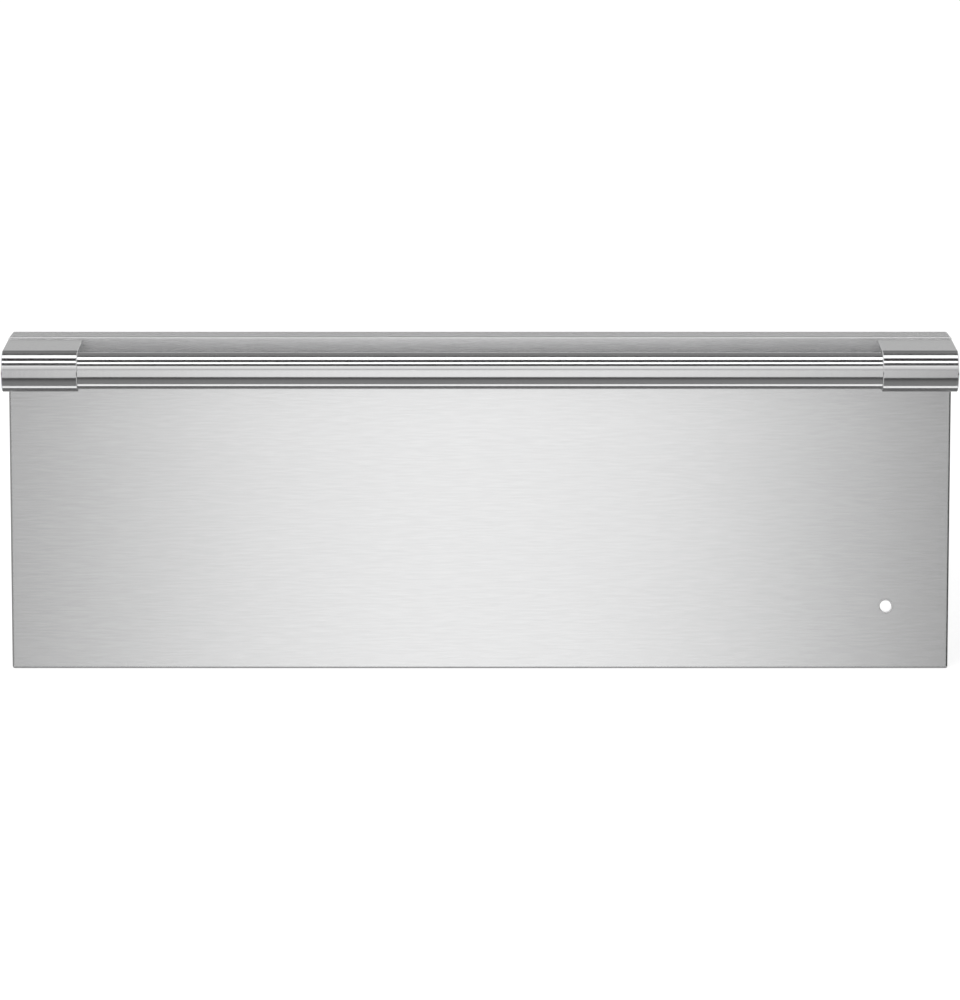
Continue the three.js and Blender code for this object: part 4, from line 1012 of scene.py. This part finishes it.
# %% Vent rivets
SHANK, SHANK_EDGE, HEAD_HEIGHT, HEAD_BRIM = 0.002, 0.0003, 0.0012, 0.0003
for name in ("left_vent_rivet", "right_vent_rivet"):
    low, high, centre = box_of(name)
    head, neck = (high.x - low.x) / 2, high.z - HEAD_HEIGHT
    outline = [(0, low.z), (SHANK - SHANK_EDGE, low.z), (SHANK, low.z + SHANK_EDGE), (SHANK, neck),
               (head, neck), *dome(head, neck + HEAD_BRIM, HEAD_HEIGHT - HEAD_BRIM)]
    finish(turned(name, outline, "Z", centre, 24), name.replace("vent_rivet", "rivet"), "drawer",
           zinc, [name])

# %% [markdown]
# The knob is turned like the lamp, and its grip is fluted: two of every five columns of a many-sided
# cylinder are drawn in towards the axis. At rest it points to 0, at the lower left of its dial.

# %% Heat knob: the turned core
SKIRT_RADIUS, SKIRT_TOP = (KNOB_HIGH.x - KNOB_LOW.x) / 2, KNOB_LOW.z + 0.004
SKIRT_EDGE, SKIRT_ROUND = 0.0005, 0.0022
SOCKET_RADIUS, SOCKET_TOP = 0.0033, KNOB_HIGH.z - 0.0037
BUSH_ROOM, BUSH_TOP = 0.0053, KNOB_LOW.z + 0.0043
GRIP_RADIUS, CORE_RADIUS, CORE_TOP = 0.0125, 0.0115, KNOB_HIGH.z - 0.002
outline = [(0, SOCKET_TOP), (SOCKET_RADIUS, SOCKET_TOP), (SOCKET_RADIUS, BUSH_TOP),
           (BUSH_ROOM, BUSH_TOP), (BUSH_ROOM, KNOB_LOW.z)]
outline += arc((SKIRT_RADIUS - SKIRT_EDGE, KNOB_LOW.z + SKIRT_EDGE), SKIRT_EDGE, -90, 0, 3)
outline += arc((SKIRT_RADIUS - SKIRT_ROUND, SKIRT_TOP - SKIRT_ROUND), SKIRT_ROUND, 0, 90)
outline += [(CORE_RADIUS, SKIRT_TOP), (CORE_RADIUS, CORE_TOP), (0, CORE_TOP)]
core = turned("core", outline, "Z", KNOB)
print("knob's core:", len(core.data.polygons), "faces")

# %% Heat knob: the fluted grip
COLUMNS = 120
FLUTE = 0.955
GRIP_EDGE, GRIP_BORDER, GRIP_DISH = 0.0013, 0.0014, 0.0006


def in_flute(v):
    column = round(atan2(v.co.y - KNOB.y, v.co.x - KNOB.x) / (2 * pi) * COLUMNS) % COLUMNS
    return column % 5 in (0, 1) and v.co.z < KNOB_HIGH.z - 0.0001


grip = drum("grip", "Z", GRIP_RADIUS, SKIRT_TOP - 0.0005, KNOB_HIGH.z, (KNOB.x, KNOB.y), COLUMNS)
edit(grip)
choose(grip, "EDGE", lambda e: not along(e, 2) and near(middle(e).z, KNOB_HIGH.z, 1e-4))
round_off(GRIP_EDGE, 4)
choose(grip, "VERT", in_flute)
bpy.ops.transform.resize(value=(FLUTE, FLUTE, 1), center_override=(KNOB.x, KNOB.y, KNOB_LOW.z))
choose(grip, "FACE", lambda f: f.normal.z > 0.99 and near(middle(f).z, KNOB_HIGH.z))
bpy.ops.mesh.inset(thickness=GRIP_BORDER)
bpy.ops.mesh.inset(thickness=GRIP_DISH, depth=-GRIP_DISH)
close()
finish(joined("knob", [core, grip]), "knob", "knob", plastic, ["heat_knob"])

# %% Pointer on the knob
POINTER_ANGLE = 225


def swung(piece, angle, centre):
    """Turns a piece that was made about the origin, and puts it on its centre."""
    piece.rotation_euler.z = radians(angle)
    piece.location = centre
    apply_place(piece)
    return piece


LINES = [  # two corners, rounding, height at which the line lies
    ((0.0015, -0.0007, -0.0002), (0.0098, 0.0007, 0.00025), 0.0002, KNOB_HIGH.z - 0.0006),
    ((0.0122, -0.0006, -0.0003), (0.0148, 0.0006, 0.0002), 0.00015, SKIRT_TOP),
]
lines = [swung(round_block("line", low, high, edge, None, 2), POINTER_ANGLE, (KNOB.x, KNOB.y, top))
         for low, high, edge, top in LINES]
finish(joined("pointer", lines), "pointer", "knob", white_print)

# %% [markdown]
# The dial's figures run clockwise from 0 to 5 around the knob, with a tick at each. They are printed,
# so each is a text object with hardly any thickness, made a mesh before it is put in its place.

# %% Dial
DIAL_RADIUS, TICK_LOW, TICK_HIGH = 0.0238, 0.0182, 0.0203
FIGURE_SIZE, TICK_HALF, TICK_CORNER = 0.0058, 0.00025, 0.0002
PRINT = 0.00006
DIAL_STEP = 54
marks = []
for number in range(6):
    deselect()
    bpy.ops.object.text_add()
    figure = bpy.context.object
    figure.data.body = str(number)
    figure.data.size = FIGURE_SIZE
    figure.data.extrude = PRINT / 2
    figure.data.align_x, figure.data.align_y = "CENTER", "CENTER"
    bpy.ops.object.convert(target="MESH")
    place = on_circle(KNOB, DIAL_RADIUS, POINTER_ANGLE - number * DIAL_STEP)
    marks.append(swung(figure, 0, (*place, LEDGE_TOP + PRINT / 2)))
for number in range(11):
    reach = TICK_HIGH if number % 2 == 0 else (TICK_LOW + TICK_HIGH) / 2
    tick = round_block("tick", (TICK_LOW, -TICK_HALF, 0), (reach, TICK_HALF, PRINT), TICK_CORNER, 2, 2)
    marks.append(swung(tick, POINTER_ANGLE - number * DIAL_STEP / 2, (KNOB.x, KNOB.y, LEDGE_TOP)))
finish(joined("dial", marks), "dial", "drawer", ink, flat=True)

# %% [markdown]
# Under the console hangs the heat control: a moulded box with a round bush that the knob's shaft goes
# through, and three blades for its wires.

# %% Heat control
CONTROL_TOP, CONTROL_EDGE = LEDGE_TOP - 0.0013, 0.0015
BUSH_RADIUS, BORE_DEPTH = 0.005, 0.0103
BLADE_PITCH, BLADE_SHEET = 0.012, 0.0008
low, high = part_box("heat_control")
at = (KNOB.x, KNOB.y)
housing = round_block("control", low, (high.x, high.y, CONTROL_TOP), CONTROL_EDGE, None, 3)
bush = drum("bush", "Z", BUSH_RADIUS, CONTROL_TOP - 0.002, high.z, at, 32)
for piece in (housing, bush):
    carve(piece, drum("bore", "Z", SOCKET_RADIUS, CONTROL_TOP - BORE_DEPTH, high.z + 0.001, at, 24))
blades = []
for number in range(3):
    start = low.x + 0.008 + number * BLADE_PITCH
    blades.append(block("blade", (start, low.y + 0.01, low.z - 0.006),
                        (start + BLADE_SHEET, low.y + 0.0163, low.z + 0.002)))
finish(joined("control", [housing, bush]), "control", "drawer", plastic,
       ["heat_control"])
finish(joined("control_blades", blades), "control_blades", "drawer", zinc)

# %% [markdown]
# ## The seal around the opening
#
# The gasket is one ring of silicone with round corners. It starts as a block with a smaller block cut
# out; the corners are rounded first, and then its rear and front edges, so that it has the section
# of a bulb.

# %% Gasket
SEAL_WIDTH, SEAL_CORNER, INNER_CORNER = 0.008, 0.016, 0.008
low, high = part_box("front_gasket")
inset = Vector((SEAL_WIDTH, -0.001, SEAL_WIDTH))
seal = round_block("seal", low, high, SEAL_CORNER, 1, 8)
carve(seal, round_block("seal_inside", low + inset, high - inset, INNER_CORNER, 1, 8))
edit(seal)
for y, offset, segments in ((high.y, 0.0019, 4), (low.y, 0.0008, 2)):
    edges = choose(seal, "EDGE", lambda e: near(middle(e).y, y) and abs(e.calc_face_angle(0)) >= 0.1)
    round_off(offset, segments)
    print("edges rounded:", edges)
close()
finish(seal, "seal", "drawer", rubber, ["front_gasket"])

# %% [markdown]
# ## The insulation
#
# The blankets are mats of glass wool, stitched in squares. A slab is cut into a fine grid, every second
# line of it is pressed in for the stitches, and Subdivision Surface lets the wool swell between them.

# %% A wool mat
STITCH = 0.065
PRESSED = 0.72


def wool_mat(name, node, body, thin, *holes):
    """A quilted mat in the place of a CAD slab; thin is the axis across it."""
    low, high, centre = box_of(node)
    size = high - low
    mat = block(name, low, high)
    edit(mat)
    wide = [axis for axis in range(3) if axis != thin]
    half_steps = {axis: 2 * max(1, round(size[axis] / STITCH)) for axis in wide}
    for axis in wide:
        normal = [float(axis == k) for k in range(3)]
        for k in range(1, half_steps[axis]):
            place = centre.copy()
            place[axis] = low[axis] + k * size[axis] / half_steps[axis]
            choose_all()
            bpy.ops.mesh.bisect(plane_co=place, plane_no=normal)

    def stitched(v):
        lines = [(v.co[axis] - low[axis]) / size[axis] * half_steps[axis] for axis in wide]
        return any(round(line) % 2 == 0 for line in lines)

    choose(mat, "VERT", stitched)
    value = [PRESSED if axis == thin else 1 for axis in range(3)]
    bpy.ops.transform.resize(value=value, center_override=centre)
    close()
    modify(mat, "SUBSURF", levels=2, render_levels=2)
    carve(mat, *holes)
    finish(mat, name, body, wool, [node])


def terminal_drills(node):
    """Cutters for the holes through which the element's two ends leave the case."""
    low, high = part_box(node)
    return [drum("terminal_hole", "Y", ELEMENT_RADIUS + 0.0003, low.y - 0.001, high.y + 0.001,
                 (side * BEND, ELEMENT.z), 24) for side in (-1, 1)]


print("mats can be made")

# %% Wool mats
for name, thin in (("base", 2), ("top", 2), ("left", 0), ("right", 0)):
    wool_mat(f"{name}_mat", f"{name}_insulation", "chassis", thin)
wool_mat("rear_mat", "rear_insulation", "chassis", 1, *terminal_drills("rear_insulation"))
ROOM = 0.0004
low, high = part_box("lamp_holder")
radius = (high.x - low.x) / 2 + ROOM
drills = [drum("holder_hole", "Y", radius, FACE_Y, BACK_Y, (LAMP.x, LAMP.z))]
for low, high, centre in HANDLE_SCREWS:
    radius = (high.x - low.x) / 2 + ROOM
    drills.append(drum("head_pocket", "Y", radius, FACE_Y, high.y + ROOM, (centre.x, BAR.z), 24))
wool_mat("front_mat", "front_insulation", "drawer", 1, *drills)

# %% [markdown]
# ## Small hardware
#
# Sheet-metal screws have a low domed head with a cross pressed into it. One is turned and cut, and the
# rest are copies of it, turned to face the way they were driven.

# %% A screw head
FACING = {"+X": (0, pi / 2, 0), "-X": (0, -pi / 2, 0), "+Y": (-pi / 2, 0, 0), "+Z": (0, 0, 0)}


def screw_head(radius, height):
    """A domed head with a cross recess, standing on the origin and facing +Z."""
    outline = [(0, 0), (radius, 0), *dome(radius, 0.25 * height, 0.75 * height)]
    head = turned("screw", outline, "Z", (0, 0, 0), 24)
    arm, half = radius * 0.55, radius * 0.13
    for x, y in ((arm, half), (half, arm)):
        carve(head, block("cross", (-x, -y, height * 0.45), (x, y, height + 0.001)))
    return head


def screws(name, body, facing, places, radius=0.0034, height=0.0016):
    """One piece of several equal screws."""
    first = screw_head(radius, height)
    heads = [copied(first, place, FACING[facing]) for place in places]
    bpy.data.objects.remove(first)
    finish(joined(name, heads), name, body, zinc)


print("screws can be driven")

# %% Screws in the panel, the case and the terminal cover
PANEL_COLUMN, PANEL_ROWS = 0.3685, (0.012, 0.085, 0.158, 0.231)
SIDE_LIP, REAR_LIP = 0.007, 0.009
CASE_LOW, CASE_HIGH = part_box("case_base")[0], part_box("case_top")[1]
low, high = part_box("inner_front_panel")
screws("inner_panel_screws", "drawer", "+Y",
       [(side * PANEL_COLUMN, high.y, z) for side in (-1, 1) for z in PANEL_ROWS], 0.0032, 0.0013)
lips = [(y, z) for y in (-0.24, -0.08, 0.08, 0.24) for z in (SIDE_LIP, CASE_HIGH.z - SIDE_LIP)]
screws("left_case_screws", "chassis", "-X", [(CASE_LOW.x, y, z) for y, z in lips])
screws("right_case_screws", "chassis", "+X", [(CASE_HIGH.x, y, z) for y, z in lips])
lips = [(x, z) for x in (-0.345, -0.17, 0.17, 0.345) for z in (REAR_LIP, CASE_HIGH.z - REAR_LIP)]
screws("rear_case_screws", "chassis", "+Y", [(x, CASE_HIGH.y, z) for x, z in lips])
low, high, centre = box_of("terminal_cover")
screws("cover_screws", "chassis", "+Z", [(x, centre.y, high.z) for x in (-0.05, 0.05)], 0.003, 0.0013)

# %% [markdown]
# ## The case
#
# A flat sheet this large would drum, so the case is stiffened with pressed ribs and fields. Each sheet
# starts as a block with its open sides deleted. Bisect draws the borders of a field on it, and an inset
# with some depth presses the field out, with sloping sides, before Solidify gives the thickness.

# %% Pressed sheets
CASE_SHEET, CASE_BEND = 0.0012, 0.0022
RIB_DEPTH, RIB_SLOPE = 0.0012, 0.0018


def press(sheet, normal, fields, depth, slope):
    """Presses fields, given as two corners, out of the faces that look along normal."""
    normal = Vector(normal)
    wide = [axis for axis in range(3) if abs(normal[axis]) < 0.5]
    edit(sheet)
    for corner in (corner for field in fields for corner in field):
        for axis in wide:
            choose_all()
            bpy.ops.mesh.bisect(plane_co=corner, plane_no=[float(axis == k) for k in range(3)])
    for low, high in fields:
        if choose(sheet, "FACE", lambda f: f.normal.dot(normal) > 0.99
                  and all(low[axis] < middle(f)[axis] < high[axis] for axis in wide)):
            bpy.ops.mesh.inset(thickness=slope, depth=depth)
    choose_all()
    bpy.ops.mesh.dissolve_limited(angle_limit=radians(0.5))
    close()


def pressed_sheet(name, node, open_faces, bends, normal, fields, *holes, depth=RIB_DEPTH,
                  slope=RIB_SLOPE):
    low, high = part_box(node)
    sheet = block(name, low, high)
    open_up(sheet, open_faces)
    if choose(sheet, "EDGE", bends):
        round_off(CASE_BEND, 4)
    close()
    press(sheet, normal, fields, depth, slope)
    thicken(sheet, CASE_SHEET)
    carve(sheet, *holes)
    finish(sheet, name, "chassis", galvanised, [node])


print("sheets can be pressed")

# %% Case sheets
TOP_RIBS, TOP_RIB_HALF, TOP_RIB_END = (-0.27, -0.09, 0.09, 0.27), 0.014, 0.235
SIDE_RIBS, SIDE_RIB_HALF, SIDE_RIB_END = (0.05, 0.092, 0.134), 0.011, 0.25
REAR_FIELDS = [((-0.33, 0, 0.062), (-0.1, 0, 0.155)), ((0.1, 0, 0.03), (0.33, 0, 0.155))]
low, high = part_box("case_top")
ribs = [((x - TOP_RIB_HALF, -TOP_RIB_END, 0), (x + TOP_RIB_HALF, TOP_RIB_END, 0)) for x in TOP_RIBS]
pressed_sheet("top_sheet", "case_top",
              lambda f: near(middle(f).z, low.z) or abs(f.normal.y) > 0.5,
              lambda e: along(e, 1) and near(middle(e).z, high.z), (0, 0, 1), ribs)
ribs = [((0, -SIDE_RIB_END, z - SIDE_RIB_HALF), (0, SIDE_RIB_END, z + SIDE_RIB_HALF))
        for z in SIDE_RIBS]
for name, side in (("left", -1), ("right", 1)):
    pressed_sheet(f"{name}_sheet", f"case_{name}", lambda f: f.normal.x * side < 0.5,
                  lambda e: False, (side, 0, 0), ribs)
pressed_sheet("rear_sheet", "case_rear", lambda f: f.normal.y < 0.5, lambda e: False, (0, 1, 0),
              REAR_FIELDS, *terminal_drills("case_rear"), depth=0.0025, slope=0.004)

# %% [markdown]
# The terminals are covered by a small drawn box, with a bush where the mains lead goes in. The box is a
# block without its front; the bush is turned, with three grip rings on its flange.

# %% Terminal cover
COVER_SHEET, INLET_RADIUS = 0.001, 0.0053
GLAND_LOW, GLAND_HIGH, GLAND = box_of("cable_gland")
low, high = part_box("terminal_cover")
cover = block("cover", low, high)
open_up(cover, lambda f: f.normal.y < -0.5)
choose(cover, "EDGE", lambda e: not near(middle(e).y, low.y))
round_off(CASE_BEND, 4)
close()
thicken(cover, COVER_SHEET)
inlet = drum("inlet", "X", INLET_RADIUS, high.x - 0.004, high.x + 0.002, (GLAND.y, GLAND.z), 32)
carve(cover, inlet)
finish(cover, "cover", "chassis", galvanised, ["terminal_cover"])

# %% Cable gland
BORE, BARREL, FLANGE = 0.0036, 0.005, (GLAND_HIGH.z - GLAND_LOW.z) / 2
FLANGE_WIDTH, BARREL_EDGE, MOUTH_EDGE = 0.003, 0.0004, 0.0005
GRIP_RINGS = [  # share of the flange's width, depth of the groove
    (0, 0.0003), (0.06, 0), (0.3, 0), (0.36, 0.0006), (0.46, 0.0006), (0.52, 0), (0.76, 0),
    (0.82, 0.0006), (0.9, 0.0009), (1, 0.0016),
]
start, end = GLAND_LOW.x, GLAND_HIGH.x
flange = end - FLANGE_WIDTH
outline = [(BORE, start), (BARREL - BARREL_EDGE, start), (BARREL, start + BARREL_EDGE),
           (BARREL, flange)]
outline += [(FLANGE - groove, flange + share * FLANGE_WIDTH) for share, groove in GRIP_RINGS]
outline += [(BORE + MOUTH_EDGE, end), (BORE, end - MOUTH_EDGE), (BORE, start)]
finish(turned("gland", outline, "X", GLAND, 32), "gland", "chassis", plastic,
       ["cable_gland"])

# %% [markdown]
# The thermal cut-out is a small can on a thin flange, with a shallow dish in its sensing face.

# %% Thermal cut-out
DISH, DISH_DEPTH, CAN, CAN_EDGE, CAN_BASE = 0.0042, 0.0008, 0.0074, 0.0006, 0.0012
low, high, centre = box_of("thermal_cutout")
face, base, end = low.y, high.y - CAN_BASE, high.y
radius = (high.x - low.x) / 2
outline = [(0, face + DISH_DEPTH), (DISH, face + DISH_DEPTH), (DISH + 0.0004, face),
           (CAN - CAN_EDGE, face), (CAN, face + CAN_EDGE), (CAN, base), (radius, base),
           (radius, end), (0, end)]
finish(turned("sensor", outline, "Y", centre, 40), "sensor", "chassis", plastic,
       ["thermal_cutout"])

# %% [markdown]
# The runners are screwed through their webs, the inner ones to the drawer's rails and the outer ones to
# the liner.

# %% Runner and liner screws
RUNNER_WEB = 0.0012
for name, side, outwards, inwards in (("left", -1, "-X", "+X"), ("right", 1, "+X", "-X")):
    low, high, centre = box_of(f"{name}_runner_inner")
    web = (high.x if side < 0 else low.x) + side * RUNNER_WEB
    screws(f"{name}_runner_screws", "drawer", outwards,
           [(web, y, centre.z) for y in (-0.262, -0.15, -0.02, 0.11, 0.195)], 0.0038, 0.0014)
    low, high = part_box(f"{name}_runner_outer")
    web = (high.x if side > 0 else low.x) - side * RUNNER_WEB
    screws(f"{name}_liner_screws", "chassis", inwards,
           [(web, y, centre.z) for y in (-0.27, 0.0, 0.2)], 0.0036, 0.0005)
